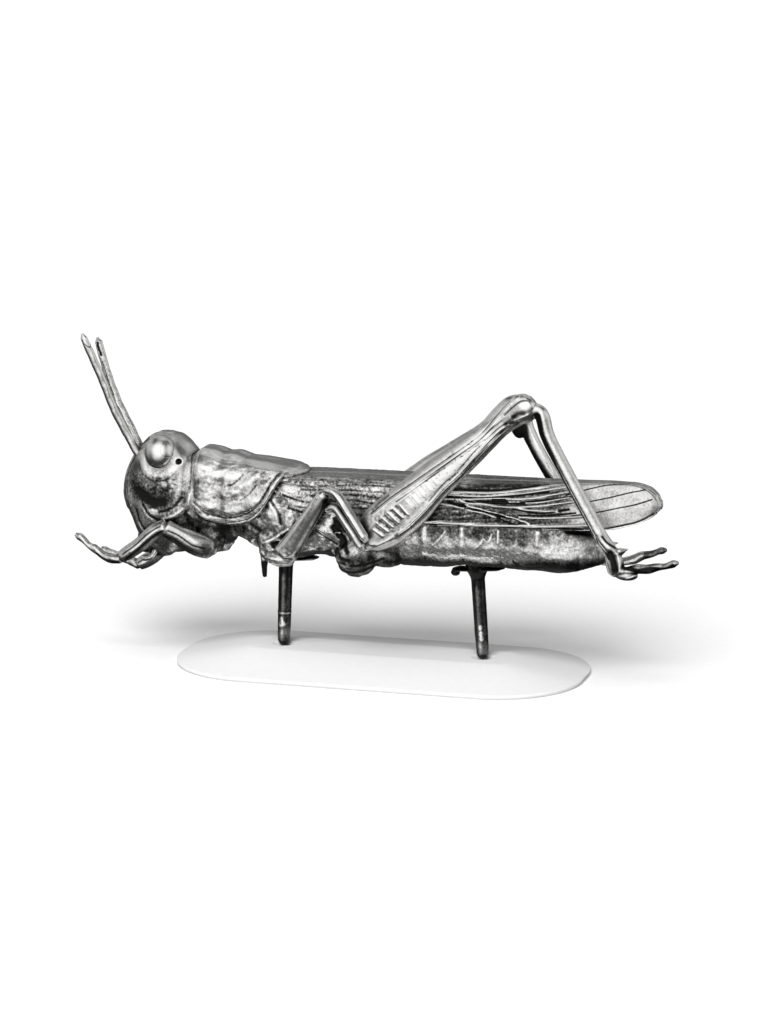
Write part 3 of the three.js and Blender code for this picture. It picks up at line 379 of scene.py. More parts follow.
class Surface:
    """Points in millimetres, their faces, and one number a point for each named mark: the tarnish, which also
    carries painted light and shade, and the grain.
    """

    def __init__(self, points, quads, tris=()):
        self.points = np.asarray(points, float)
        self.quads = np.asarray(quads, int).reshape(-1, 4)
        self.tris = np.asarray(tris, int).reshape(-1, 3)
        self.tarnish_and_painted_light = np.zeros(len(self.points))
        self.grain = np.full(len(self.points), 0.5)

    def pairs(self):
        """The two ends of each face's edges."""
        rings = [np.stack([f[:, k], f[:, (k + 1) % f.shape[1]]], 1)
                 for f in (self.quads, self.tris) for k in range(f.shape[1])]
        return np.concatenate(rings)

    def around(self, values, pairs):
        """The mean of the neighbours' values at each point."""
        count = np.maximum(np.bincount(pairs[:, 0], minlength=len(self.points)), 1)
        sums = [np.bincount(pairs[:, 0], column[pairs[:, 1]], len(self.points)) for column in values.T]
        return np.stack(sums, 1) / count[:, None]

    def relaxed(self, rounds, regrow=0.0):
        """The points after rounds of smoothing, each followed by some growing back."""
        pairs = self.pairs()
        points = self.points
        for _ in range(rounds):
            points = points + SMOOTHING * (self.around(points, pairs) - points)
            if regrow:
                points = points - regrow * (self.around(points, pairs) - points)
        return points

    def relax(self, rounds):
        """Smooths the steps that fusing leaves, without thinning the shape."""
        self.points = self.relaxed(rounds, regrow=REGROWTH)

    def normals(self):
        total = np.zeros_like(self.points)
        for faces in (self.quads, self.tris):
            if not len(faces):
                continue
            a, b, c, d = (self.points[faces[:, k]] for k in (0, 1, 2, -1))
            facing = np.cross(c - a, d - b) if faces.shape[1] == 4 else np.cross(b - a, c - a)
            for k in range(faces.shape[1]):
                for axis in range(3):
                    total[:, axis] += np.bincount(faces[:, k], facing[:, axis], len(self.points))
        return total / np.maximum(np.linalg.norm(total, axis=1, keepdims=True), 1e-12)

    def push(self, amount):
        """Moves each point out along its normal."""
        self.points = self.points + self.normals() * np.asarray(amount)[:, None]

    def depth(self, rounds):
        """How far each point lies below its smoothed neighbourhood, in millimetres."""
        return np.sum((self.relaxed(rounds) - self.points) * self.normals(), axis=1)


def tube(rings):
    """Rings of points (rings, sides, 3), closed by a fan at each end."""
    rings = np.asarray(rings)
    count, sides = rings.shape[:2]
    row = np.arange(sides)
    after = (row + 1) % sides
    starts = (np.arange(count - 1) * sides)[:, None]
    quads = np.stack([starts + row, starts + after, starts + sides + after, starts + sides + row], -1)
    hubs = rings[[0, -1]].mean(axis=1)
    first_hub = count * sides
    last_ring = (count - 1) * sides
    front = np.stack([after, row, np.full(sides, first_hub)], 1)
    back = np.stack([last_ring + row, last_ring + after, np.full(sides, first_hub + 1)], 1)
    points = np.vstack([rings.reshape(-1, 3), hubs])
    return outward(Surface(points, quads, np.vstack([front, back])))


def outward(surface):
    """The same surface with its faces turned to face out."""
    p = surface.points
    volume = 0
    for faces in (surface.quads, surface.tris):
        for k in range(1, faces.shape[1] - 1):
            a, b, c = p[faces[:, 0]], p[faces[:, k]], p[faces[:, k + 1]]
            volume += np.sum(a * np.cross(b, c))
    if volume < 0:
        surface.quads = surface.quads[:, ::-1]
        surface.tris = surface.tris[:, ::-1]
    return surface


def together(surfaces):
    """Several surfaces as one."""
    points, quads, tris = [], [], []
    start = 0
    for s in surfaces:
        points.append(s.points)
        quads.append(s.quads + start)
        tris.append(s.tris + start)
        start += len(s.points)
    whole = Surface(np.vstack(points), np.vstack(quads), np.vstack(tris))
    whole.tarnish_and_painted_light = np.concatenate([s.tarnish_and_painted_light for s in surfaces])
    whole.grain = np.concatenate([s.grain for s in surfaces])
    return whole


def add_object(name, data):
    thing = bpy.data.objects.new(name, data)
    bpy.context.scene.collection.objects.link(thing)
    return thing


def read_all(items, key, kind=int, width=1):
    """One property of every item of a mesh, as an array."""
    values = np.zeros(len(items) * width, kind)
    items.foreach_get(key, values)
    return values


def mesh_of(name, surface, scale=1.0):
    mesh = bpy.data.meshes.new(name)
    faces = [*surface.quads.tolist(), *surface.tris.tolist()]
    mesh.from_pydata((surface.points * scale).tolist(), [], faces)
    mesh.update()
    return mesh


def fused(surfaces, voxel):
    """One skin round overlapping closed surfaces, in quads about voxel across."""
    mesh = mesh_of("fusing", together(surfaces))
    helper = add_object("fusing", mesh)
    remesh = helper.modifiers.new("remesh", "REMESH")
    remesh.mode = "VOXEL"
    remesh.voxel_size = voxel
    done = helper.evaluated_get(bpy.context.evaluated_depsgraph_get()).to_mesh()
    points = read_all(done.vertices, "co", float, 3)
    corners = read_all(done.loops, "vertex_index")
    sizes = read_all(done.polygons, "loop_total")
    starts = read_all(done.polygons, "loop_start")
    quads = corners[starts[sizes == 4][:, None] + np.arange(4)]
    tris = corners[starts[sizes == 3][:, None] + np.arange(3)]
    bpy.data.objects.remove(helper)
    bpy.data.meshes.remove(mesh)
    return largest(Surface(points.reshape(-1, 3), quads, tris))


def largest(surface):
    """Only the largest connected part of a surface."""
    count = len(surface.points)
    label = np.arange(count)
    pairs = surface.pairs()
    while True:
        lowest = label.copy()
        np.minimum.at(lowest, pairs[:, 0], label[pairs[:, 1]])
        lowest = lowest[lowest]
        if np.array_equal(lowest, label):
            break
        label = lowest
    keep = label == np.bincount(label).argmax()
    if keep.all():
        return surface
    new_index = np.cumsum(keep) - 1
    quads = new_index[surface.quads[keep[surface.quads[:, 0]]]]
    tris = new_index[surface.tris[keep[surface.tris[:, 0]]]] if len(surface.tris) else ()
    return Surface(surface.points[keep], quads, tris)


def build_piece(name, surface, material, nodes):
    """The surface as a Blender object in metres that rides on the root body in place of some nodes."""
    mesh = mesh_of(name, surface, MM)
    mesh.shade_smooth()
    for mark in ("tarnish_and_painted_light", "grain"):
        layer = mesh.attributes.new(mark, "FLOAT", "POINT")
        layer.data.foreach_set("value", getattr(surface, mark).astype(np.float32))
    mesh.materials.append(material)
    piece = add_object(name, mesh)
    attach(piece, "root")
    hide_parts(*nodes)


# ---- shapes ----
POLE_GAP = 0.02


def as_given(x, y, z):
    return x, y, z


def loft(rows, ticks, place=as_given, around=96):
    """A closed skin through half sections. A row is t, then (a, b) pairs from centre line to centre line."""
    halves = rows_at([[t, *np.ravel(half)] for t, *half in rows], ticks).reshape(len(ticks), -1, 2)
    mirrored = halves[:, -2:0:-1] * (-1, 1)
    turns = np.linspace(0, 1, around, endpoint=False)
    section = curve_through(np.concatenate([halves, mirrored], 1), turns, closed=True)
    t = np.repeat(np.asarray(ticks, float)[:, None], around, 1)
    return tube(np.stack(place(t, section[..., 0], section[..., 1]), -1))


def limb(path, sizes, count, around, side=LEFT, relief=None):
    """A tapered limb. relief(t, rise, spread, along) adds to its radius, in millimetres."""
    t = np.linspace(0, 1, count + 1)
    middle = curve_through(path, t)
    tangent = np.gradient(middle, axis=0)
    tangent /= np.linalg.norm(tangent, axis=1, keepdims=True)
    upward = np.cross(tangent, (0, 1, 0))
    upward /= np.linalg.norm(upward, axis=1, keepdims=True)
    outward_way = np.cross(upward, tangent) * side
    angle = np.linspace(0, 2 * math.pi, around, endpoint=False)
    rise = np.sin(angle)[None, :, None]
    spread = np.cos(angle)[None, :, None]
    up, down, wide = rows_at(sizes, t).T[:, :, None, None]
    along = np.concatenate([[0], np.cumsum(np.linalg.norm(np.diff(middle, axis=0), axis=1))])
    extra = 0
    if relief is not None:
        extra = relief(t[:, None], rise[..., 0], spread[..., 0], along[:, None])[..., None]
    lift = rise * (np.where(rise > 0, up, down) + extra)
    push = spread * (wide + extra)
    return tube(middle[:, None] + upward[:, None] * lift + outward_way[:, None] * push)


def ellipsoid(centre, radii, tilt=0.0, around=64, rows=40):
    """A closed ellipsoid, turned about Y by tilt in radians."""
    polar = np.linspace(POLE_GAP, math.pi - POLE_GAP, rows)[:, None]
    turn = np.linspace(0, 2 * math.pi, around, endpoint=False)[None]
    x = np.sin(polar) * np.cos(turn) * radii[0]
    y = np.sin(polar) * np.sin(turn) * radii[1]
    z = np.cos(polar) * radii[2] + 0 * turn
    turned_x = x * math.cos(tilt) + z * math.sin(tilt)
    turned_z = z * math.cos(tilt) - x * math.sin(tilt)
    return tube(np.stack([turned_x, y, turned_z], -1) + np.asarray(centre, float))


# ---- marks drawn on a side ----
def distance_to_line(x, z, line):
    """Distance in the side view from each point to a line of [x, z] points."""
    line = np.asarray(line, float)
    best = np.full(len(x), 1e9)
    for (ax, az), (bx, bz) in zip(line[:-1], line[1:]):
        length = max((bx - ax) ** 2 + (bz - az) ** 2, 1e-9)
        f = np.clip(((x - ax) * (bx - ax) + (z - az) * (bz - az)) / length, 0, 1)
        best = np.minimum(best, np.hypot(x - ax - f * (bx - ax), z - az - f * (bz - az)))
    return best


def stroke(points, line, width, count=24):
    """1 on a smooth line seen from the side, falling off over width."""
    smooth = smooth_line(line, count) if len(line) > 2 else np.asarray(line, float)
    side_view = points[:, [0, 2]]
    margin = 3 * width
    low, high = smooth.min(axis=0) - margin, smooth.max(axis=0) + margin
    near = np.all((side_view > low) & (side_view < high), axis=1)
    drawn = np.zeros(len(points))
    drawn[near] = bump_at(distance_to_line(*side_view[near].T, smooth), width)
    return drawn


def spot(points, centre, radii, softness=0.35):
    """1 inside an ellipse seen from the side, with a soft edge."""
    reach = np.hypot((points[:, 0] - centre[0]) / radii[0], (points[:, 2] - centre[1]) / radii[1])
    return 1 - smooth_step(1 - softness, 1 + softness, reach)


def draw(surface, marks, where=1.0):
    """Raises and darkens a surface by marks seen from the side, as (x, z), each with its lift and tone. Some
    of the tones are painted light and shade.

    A mark is (line, width, lift, tone) or (centre, (radius, radius), lift, tone).
    """
    points = surface.points
    lift = np.zeros(len(points))
    tone = np.zeros(len(points))
    for place, size, height, shade in marks:
        drawn = spot(points, place, size, 0.5) if isinstance(size, tuple) else stroke(points, place, size)
        lift += height * drawn
        tone += shade * drawn
    surface.push(lift * where)
    surface.tarnish_and_painted_light += tone * where


# ---- body skin ----
def head_shape():
    rows = []
    for z, front, back, half in HEAD_ROWS:
        length = back - front
        rows.append([z, (0, front), (half * 0.5, front + length * 0.05), (half * 0.88, front + length * 0.2),
                     (half, front + length * 0.5), (half * 0.9, front + length * 0.85), (0, back)])
    return loft(rows, np.linspace(HEAD_ROWS[0][0], HEAD_ROWS[-1][0], 110), lambda z, y, x: (x, y, z))


def face_shapes():
    palp_sizes = round_sizes([[0, 0.5], [0.5, 0.38], [0.9, 0.42], [1, 0.25]])
    palps = [limb([[x, side * y, z] for x, y, z in path], palp_sizes, 24, 20)
             for side, path in product(SIDES.values(), PALPS)]
    return [limb(FACE_KEEL, FACE_KEEL_SIZES, 60, 24), ellipsoid(*LIP), *palps]


def neck_shape():
    """What fills the groove between the head and the saddle."""
    rows = [[x, (0, top), (half * 0.72, top - 0.6), (half, FLANK_MIDDLE_Z), (half * 0.95, 22.5),
             (half * 0.6, 20), (0, INNER_FOOT_Z)]
            for x, top, half in NECK_ROWS]
    return loft(rows, np.linspace(NECK_ROWS[0][0], NECK_ROWS[-1][0], 24))


def lobe_edge_height(x):
    """How high the saddle's lower edge is at x."""
    edge = smooth_line(LOBE_EDGE, 200)
    return np.interp(x, edge[:, 0], edge[:, 1])


def pronotum_shape():
    """The saddle: a loft whose lower side is cut off at the lobe's edge, and whose rear edge is an arc."""
    rows = [[x, (0, top), (edge * 0.6, top - 0.05), (edge, edge_z), (half * 0.94, edge_z - 1.5),
             (half, wide_z), (half * 0.97, wide_z - 3), (half * 0.8, 20.5), (0, INNER_FOOT_Z)]
            for x, top, edge, edge_z, half, wide_z in PRONOTUM_ROWS]

    def place(x, y, z):
        shrink = 1 - NECK_SHRINK * (1 - smooth_step(NECK_X, NECK_X + 0.7, x))
        swept = x - DISC_ARC * y * y * smooth_step(-17, DISC_REAR_X, x)
        height = FLANK_MIDDLE_Z + (z - FLANK_MIDDLE_Z) * shrink
        return swept, y * shrink, np.maximum(height, lobe_edge_height(x))

    return loft(rows, np.linspace(NECK_X, DISC_REAR_X, 120), place)


def pronotum_half_width(x, z):
    """About how far out the saddle's side is at x and z."""
    values = rows_at(PRONOTUM_ROWS, x)
    half, wide_z = values[:, 3], values[:, 4]
    drop = (wide_z - z) / 6
    return half * (1 - 0.35 * drop * drop)


def rim_shape(side):
    """The bead along the lobe's edge."""
    edge = smooth_line(LOBE_EDGE, 60)
    tangent = np.gradient(edge, axis=0)
    tangent /= np.linalg.norm(tangent, axis=1, keepdims=True)
    inset = edge + np.stack([-tangent[:, 1], tangent[:, 0]], 1) * RIM_INSET
    keep = (inset[:, 0] > NECK_X + 0.3) & (inset[:, 0] < RIM_REAR_X)
    x, z = inset[keep].T
    path = np.stack([x, side * (pronotum_half_width(x, z) + 0.02), z], 1)
    return limb(path, round_sizes([[0, 0.2], [0.08, RIM_RADIUS], [0.92, RIM_RADIUS], [1, 0.2]]), 160, 20)


def thorax_shape():
    rows = [[x, (0, top), (half * 0.7, top - 0.3), (half * 0.95, top - 2.2), (half, top - 5),
             (half * 0.95, low + 4.2), (half * 0.72, low + 1), (0, low)] for x, low, half, top in THORAX_ROWS]
    return loft(rows, np.linspace(NECK_X, WAIST_X, 90))


def coxa_shapes():
    shapes = []
    for side, coxa in product(SIDES.values(), COXAE):
        radius = coxa["radius"]
        sizes = [[t, radius * f, radius * f, radius * f * COXA_FLATNESS] for t, f in COXA_SIZES]
        path = [[x, side * y, z] for x, y, z in coxa["path"]]
        shapes.append(limb(path, sizes, 50, 48, side))
    (x, y, z), radii = HIP
    shapes += [ellipsoid((x, side * y, z), radii, HIP_TILT) for side in SIDES.values()]
    return shapes


def abdomen_shape():
    rows = []
    for x, low, half, top in ABDOMEN_ROWS:
        height = top - low
        rows.append([x, (0, top), (half * 0.7, top - height * 0.04), (half * 0.96, top - height * 0.22),
                     (half, low + height * 0.5), (half * 0.97, low + height * 0.3),
                     (half * 0.66, low + height * 0.06), (0, low)])
    return loft(rows, np.linspace(ABDOMEN_ROWS[0][0], ABDOMEN_ROWS[-1][0], 140))


def body_skin():
    """The head, the saddle, the thorax and the abdomen as one casting."""
    shapes = [head_shape(), neck_shape(), *face_shapes(), pronotum_shape(),
              *(rim_shape(side) for side in SIDES.values()), ellipsoid(*DISC_BED), thorax_shape(),
              *coxa_shapes(), abdomen_shape(), limb(SPRUE_PATH, SPRUE_SIZES, 30, 20)]
    skin = fused(shapes, VOXELS["body"])
    skin.relax(6)
    head_relief(skin)
    pronotum_relief(skin)
    thorax_relief(skin)
    abdomen_relief(skin)
    cast_skin(skin)
    return skin


# Marks are (line, width) or (centre, radii), then their lift in millimetres and their tone. More is darker.
HEAD_MARKS = [
    # the light crescent under the eye and its dark outline
    ([[-36.1, 30.6], [-35.75, 29.0], [-34.4, 28.1], [-32.5, 28.2], [-31.1, 29.2]], 0.55, 0.08, -0.25),
    ([[-36.7, 29.4], [-35.9, 27.9], [-34.3, 27.2], [-32.4, 27.4], [-30.9, 28.4]], 0.11, -0.02, 0.15),
    # the dark arc of the cheek, the pale panel behind it and the ridge under both
    ([[-37.4, 29.0], [-37.6, 27.2], [-36.9, 25.4], [-35.2, 24.2], [-33.2, 24.0], [-31.8, 24.4]],
     1.1, -0.04, 0.5),
    ([[-36.2, 25.2], [-34.6, 24.0], [-32.8, 23.9]], 0.6, -0.04, 0.5),
    ([[-29.6, 32.0], [-29.3, 30.2], [-29.5, 28.0], [-30.1, 26.4]], 0.75, 0.04, -0.3),
    ([[-28.4, 25.4], [-29.1, 23.6], [-30.8, 22.2], [-32.7, 21.3]], 0.4, 0.2, -0.1),
    ([[-29.9, 24.8], [-30.6, 23.8], [-31.9, 22.9], [-33.4, 22.4]], 0.25, -0.08, 0.25),
    # mouthparts
    ([[-36.0, 23.4], [-35.0, 21.9], [-33.1, 20.9]], 0.18, -0.1, 0.4),
    ([[-37.2, 22.6], [-36.6, 20.4], [-35.4, 18.8]], 0.22, -0.12, 0.35),
    ([[-38.1, 22.9], [-37.1, 20.3], [-36.3, 19.3]], 0.3, 0.12, -0.05),
    ([[-35.1, 17.4], [-34.2, 16.5], [-33.7, 15.9], [-32.2, 15.6]], 0.35, 0.12, -0.25),
    ([[-33.6, 19.4], [-32.0, 19.0], [-30.2, 19.6]], 0.3, -0.1, 0.3),
    ((-34.4, 22.4), (0.9, 0.5), 0.08, -0.3),
    ((-34.6, 26.0), (2.6, 2.0), 0.0, 0.25),
    # carinae of the face
    ([[-38.2, 29.9], [-38.8, 28.6], [-39.2, 27.2]], 0.12, -0.06, 0.7),
    ([[-39.5, 26.4], [-39.6, 25.4], [-39.4, 24.4]], 0.12, -0.06, 0.7),
    ([[-39.0, 26.6], [-39.1, 25.6], [-38.9, 24.8]], 0.1, -0.05, 0.6),
    ([[-38.9, 23.6], [-38.4, 22.5], [-37.9, 21.6]], 0.12, -0.05, 0.4),
    ([[-37.9, 31.3], [-37.0, 32.2], [-35.9, 33.0]], 0.16, -0.08, 0.5),
    ([[-28.9, 22.5], [-27.8, 21.5], [-26.2, 20.9]], 0.3, 0.1, -0.1),
    ([[-28.9, 31.0], [-28.4, 29.6], [-28.5, 27.6], [-28.6, 25.6]], 0.12, -0.05, 0.35),
    ((-30.4, 30.2), (0.38, 0.34), -0.3, 1.3),
]


def head_relief(skin):
    p = skin.points
    x, z = p[:, 0], p[:, 2]
    on_head = smooth_step(NECK_X + 0.1, NECK_X - 0.5, x)
    draw(skin, HEAD_MARKS, on_head)
    low = smooth_step(29.5, 27.5, z)
    skin.push(on_head * low * 0.025 * rough(p, 0.9, 4, 2))
    flecked = spot(p, (-32.8, 26.9), (2.6, 1.6), 0.5)
    skin.tarnish_and_painted_light += on_head * (0.16 + 0.12 * smooth_step(24, 20, z)
                               + 0.35 * flecked * noise(p, 0.35, 22)
                               + 0.12 * flecked + 0.12 * low * noise(p, 0.9, 24))
    skin.grain += on_head * (0.5 * low - 0.25)


PRONOTUM_MARKS = [
    ((-25.9, 30.2), (1.5, 0.8), 0.1, -0.3),
    ((-23.0, 28.9), (1.9, 0.8), 0.12, -0.35),
    ((-26.2, 23.7), (1.9, 0.8), 0.14, -0.3),
    ([[-22.9, 22.9], [-20.4, 23.6], [-18.3, 25.0]], 0.65, 0.14, -0.3),
    ([[-21.7, 25.9], [-19.6, 27.5], [-17.9, 29.2]], 0.45, 0.12, -0.22),
    ([[-27.2, 27.6], [-25.6, 27.3], [-23.6, 27.8]], 0.4, -0.05, 0.15),
    ([[-24.6, 25.4], [-22.2, 25.0], [-20.4, 25.7]], 0.5, -0.05, 0.12),
    ([[-22.9, 27.0], [-21.4, 27.6], [-20.2, 28.9]], 0.18, -0.05, 0.25),
    ([[-20.4, 25.1], [-19.0, 26.2], [-18.1, 27.4]], 0.16, -0.04, 0.2),
    ((-17.4, 28.4), (1.4, 1.2), -0.03, 0.28),
    ([[-14.6, 28.5], [-13.9, 29.4], [-12.8, 29.8]], 0.2, 0.06, -0.45),
    ((-27.6, 27.0), (0.5, 2.6), -0.04, 0.2),
    # the fold between the dark top and the side
    ([[-27.4, 31.3], [-25.6, 31.0], [-23.6, 30.1], [-22.0, 30.1], [-20.4, 30.4], [-18.8, 30.0],
      [-16.4, 29.7], [-13.8, 29.8]], 0.16, 0.07, 0.3),
    ([[-26.0, 31.6], [-25.0, 31.3], [-23.6, 30.7], [-22.4, 30.6], [-21.0, 30.8]], 0.2, 0.06, -0.15),
]
SEAM_INSET = 0.95


def pronotum_relief(skin):
    p = skin.points
    x, z = p[:, 0], p[:, 2]
    above_edge = z - lobe_edge_height(x)
    inside = (smooth_step(NECK_X - 0.1, NECK_X + 0.5, x) * smooth_step(0.0, 0.5, above_edge)
              * (x < DISC_REAR_X + 0.4))
    carina_z = rows_at(PRONOTUM_ROWS, x)[:, 2]
    side = inside * smooth_step(0.3, -0.5, z - carina_z)
    top = inside * smooth_step(-0.3, 0.4, z - carina_z)
    draw(skin, PRONOTUM_MARKS, inside)
    skin.push(side * (0.07 * rough(p * (0.8, 1, 1.2), 1.9, 3, 3) + 0.02 * noise(p, 0.5, 11))
              + 0.03 * top * noise(p, 2.0, 14))
    # a dark line inside the rim
    inset = distance_to_line(x, z, smooth_line(LOBE_EDGE, 60))
    seam = side * bump_at(inset - SEAM_INSET, 0.17)
    skin.push(-0.08 * seam)
    mottled = -0.01 + 0.1 * noise(p, 1.6, 21) + 0.16 * noise(p, 0.45, 23)
    skin.tarnish_and_painted_light += 0.2 * seam + side * mottled - 0.2 * top
    skin.grain += side * 0.15 - 0.35 * top


# Marks that run over the thorax and the lower front of the wings alike.
FLANK_MARKS = [
    ((-12.9, 27.2), (1.2, 0.5), 0.08, -0.3),
    ([[-13.8, 26.3], [-12.2, 25.8], [-10.6, 25.5]], 0.15, -0.08, 0.35),
    ([[-12.8, 25.3], [-11.2, 25.0], [-9.8, 24.8]], 0.35, 0.08, -0.3),
    ([[-13.0, 24.35], [-11.8, 24.1], [-10.4, 23.8]], 0.2, -0.1, 0.5),
    ((-15.4, 23.7), (0.9, 1.7), 0.18, -0.3),
    ((-13.0, 22.3), (0.8, 1.2), 0.16, -0.3),
    ([[-16.3, 26.2], [-15.6, 25.0], [-14.6, 23.4], [-14.2, 21.9]], 0.22, -0.14, 0.35),
    ([[-16.9, 18.8], [-15.0, 19.8], [-13.2, 21.0]], 0.26, 0.2, -0.35),
    ((-14.5, 18.7), (1.0, 0.5), -0.4, 0.9),
    ([[-8.0, 20.4], [-7.2, 22.0], [-6.2, 23.2]], 0.75, 0.1, -0.35),
    ([[-5.4, 22.7], [-5.2, 21.7], [-5.0, 20.8]], 0.55, -0.25, 1.0),
    ([[-5.9, 21.9], [-5.4, 21.0], [-4.7, 20.0], [-4.8, 19.2]], 0.4, -0.25, 1.0),
    ([[-4.7, 22.2], [-4.0, 21.2], [-3.4, 20.4]], 0.2, -0.1, 0.6),
    ([[-5.9, 23.3], [-5.0, 23.6], [-4.2, 22.9]], 0.2, -0.08, 0.5),
    ([[-4.4, 20.4], [-4.2, 19.4], [-3.8, 18.4]], 0.35, -0.15, 0.7),
    ([[-8.8, 21.2], [-6.8, 20.0], [-5.7, 19.3]], 0.16, -0.1, 0.6),
    ([[-19.2, 21.6], [-17.6, 20.6], [-16.4, 20.2]], 0.35, -0.08, 0.25),
]
THORAX_MARKS = [
    # the arch between the fore and mid legs, and painted shade under the saddle's lobe above it
    ([[-24.6, 17.9], [-23.8, 18.5], [-22.7, 19.0], [-21.5, 19.3], [-20.3, 19.0], [-19.0, 18.0]],
     0.35, 0.06, -0.1),
    ((-21.4, 20.5), (3.0, 0.9), 0.0, 0.35),
    ((-23.6, 19.6), (1.4, 1.2), 0.0, 0.25),
    # lumps of the coxae
    ((-17.3, 17.1), (0.6, 0.5), 0.15, -0.2),
    ((-15.9, 16.8), (0.7, 0.5), 0.12, -0.25),
    ((-13.7, 16.4), (1.0, 0.5), 0.12, -0.15),
    ([[-6.4, 18.1], [-5.5, 17.2], [-4.5, 16.5], [-3.4, 16.4]], 0.25, 0.2, -0.3),
    ([[-7.1, 17.6], [-6.2, 16.7], [-5.0, 15.8], [-3.7, 15.4]], 0.22, -0.12, 0.5),
    ([[-5.6, 18.6], [-4.6, 17.4], [-3.5, 17.2]], 0.2, -0.12, 0.5),
    ((-2.6, 18.3), (0.9, 0.9), 0.04, -0.15),
    ((-8.6, 19.1), (1.5, 0.6), 0.0, -0.15),
    # a broad dark band along the underside behind the mid legs, painted shade, then two thin grooves
    ([[-10.6, 17.0], [-8.6, 17.3], [-6.8, 17.6]], 0.6, -0.1, 0.7),
    ([[-4.2, 15.3], [-2.0, 15.6], [0.6, 16.6]], 0.16, -0.1, 0.4),
    ([[-5.0, 16.8], [-3.0, 16.4], [-0.6, 16.8], [1.6, 17.6]], 0.16, -0.1, 0.35),
]


def thorax_relief(skin):
    p = skin.points
    x, z = p[:, 0], p[:, 2]
    under_lobe = smooth_step(0.0, -0.4, z - lobe_edge_height(x))
    here = smooth_step(NECK_X, NECK_X + 0.4, x) * smooth_step(WAIST_X + 1, WAIST_X, x) * under_lobe
    draw(skin, FLANK_MARKS + THORAX_MARKS, here)
    coxa = smooth_step(-4.6, -3.4, x) * smooth_step(21, 19.5, z)
    under_neck = smooth_step(-21.5, -23.5, x)
    skin.push(here * (0.08 - 0.06 * coxa - 0.05 * under_neck) * rough(p, 1.0, 5, 2))
    # Painted shade: the underside, the low front under the saddle's lobe and the low part under the neck are
    # darkened where shade falls. The hind coxa and the sprue's spike are darkened as well.
    underside_painted_shade = smooth_step(18.8, 17.0, z) * smooth_step(-13.5, -11.5, x)
    low = underside_painted_shade * (1 - 0.2 * coxa) + 0.5 * coxa
    spike = smooth_step(15.9, 15.4, z) * bump_at(x - SPRUE_PATH[0][0], 1.0)
    skin.tarnish_and_painted_light += here * (0.14 + 0.5 * low + 1.6 * spike + 0.18 * noise(p, 1.0, 31)
                            + 0.1 * noise(p, 0.45, 32))
    skin.tarnish_and_painted_light += here * 0.4 * smooth_step(19.8, 17.5, z) * smooth_step(-19.5, -23.0, x)
    skin.tarnish_and_painted_light += here * 0.3 * under_neck * smooth_step(22.5, 20.5, z)
    skin.grain += here * (0.2 - 0.2 * low)


# The light bars on the rims of the abdomen's segments, which are about RIM_STEP apart.
BAR_TOP, BAR_FOOT = 22.7, 18.9
FIRST_RIM_X, RIM_STEP = 7.7, 5.7
ABDOMEN_MARKS = [([[x + 0.05, BAR_TOP], [x, BAR_FOOT + short]], width, 0.12, tone)
                 for x, width, short, tone in ((FIRST_RIM_X, 0.34, 0.0, -0.75), (13.4, 0.3, 0.0, -0.75),
                                               (18.8, 0.12, 2.0, -0.6), (24.6, 0.26, 1.9, -0.6))]
ABDOMEN_MARKS += [
    ([[28.9, 23.0], [30.6, 22.8], [32.4, 22.7]], 0.3, -0.25, 1.2),
    ([[21.0, 18.3], [21.6, 17.7], [23.0, 17.4], [25.0, 17.6]], 0.16, -0.1, 0.6),
    # darker patches high on the flank, a painted shade under the wings
    ((9.6, 21.6), (1.0, 1.3), -0.03, 0.22),
    ((12.2, 21.9), (0.7, 0.9), 0.0, 0.15),
    ((16.4, 21.9), (1.7, 0.9), -0.03, 0.25),
    ((20.4, 21.6), (1.2, 1.1), -0.03, 0.28),
    ((22.4, 21.2), (0.8, 1.3), -0.03, 0.3),
    ([[15.0, 19.6], [16.2, 20.6], [16.6, 21.4], [17.3, 21.0], [17.9, 22.2]], 0.12, 0.03, -0.4),
    ([[9.0, 20.0], [9.9, 20.9], [11.0, 22.3]], 0.14, 0.03, -0.25),
    # lighter patches along the lower flank, a painted light band
    ((10.8, 18.9), (2.2, 1.2), 0.0, -0.25),
    ((16.4, 19.1), (2.4, 1.3), 0.0, -0.27),
    ((22.6, 19.3), (2.4, 1.2), 0.0, -0.2),
    ((27.4, 20.0), (2.6, 1.2), 0.0, -0.2),
]


def abdomen_relief(skin):
    p = skin.points
    x, z = p[:, 0], p[:, 2]
    here = smooth_step(WAIST_X - 0.5, WAIST_X + 0.5, x)
    middle = smooth_step(16.8, 19.4, z) * smooth_step(22.8, 21.0, z)
    low = smooth_step(18.8, 16.9, z - 0.6 * smooth_step(18, 24, x))
    draw(skin, ABDOMEN_MARKS, here)
    pillow = np.abs(np.sin(math.pi * (x - FIRST_RIM_X) / RIM_STEP)) ** 0.6
    lift = 0.2 * bump_at(z - 17.9, 1.7) * pillow + 0.05 * rough(p, 1.8, 9, 3)
    lift += low * (0.16 * noise(p * (1, 1, 0.5), 2.4, 17) + 0.05 * noise(p, 1.0, 18))
    slanted = np.stack([(x + z) * 1.5, p[:, 1], (x - z) * 0.4], 1)
    scratch = noise(slanted, 0.4, 12)
    lift += 0.025 * scratch
    skin.push(lift * here)
    # Painted light and shade: darker high on the flank under the wings, a little lighter across the middle,
    # and darkest along the underside.
    skin.tarnish_and_painted_light += here * (0.25 + 0.12 * smooth_step(21.0, 22.6, z) - 0.1 * middle + 0.8 * low
                            + 0.06 * noise(p, 1.3, 41)
                            + (1 - low) * (0.18 * scratch + 0.1 * noise(p, 0.3, 42)))
    skin.grain += here * (0.2 - 0.35 * low)


# Rounds of smoothing that find fine and broad hollows, and the tarnish for each millimetre of their depth.
HOLLOWS = ((3, 8), (14, 2.8))
HOLLOW_TONE = (-0.35, 0.7)


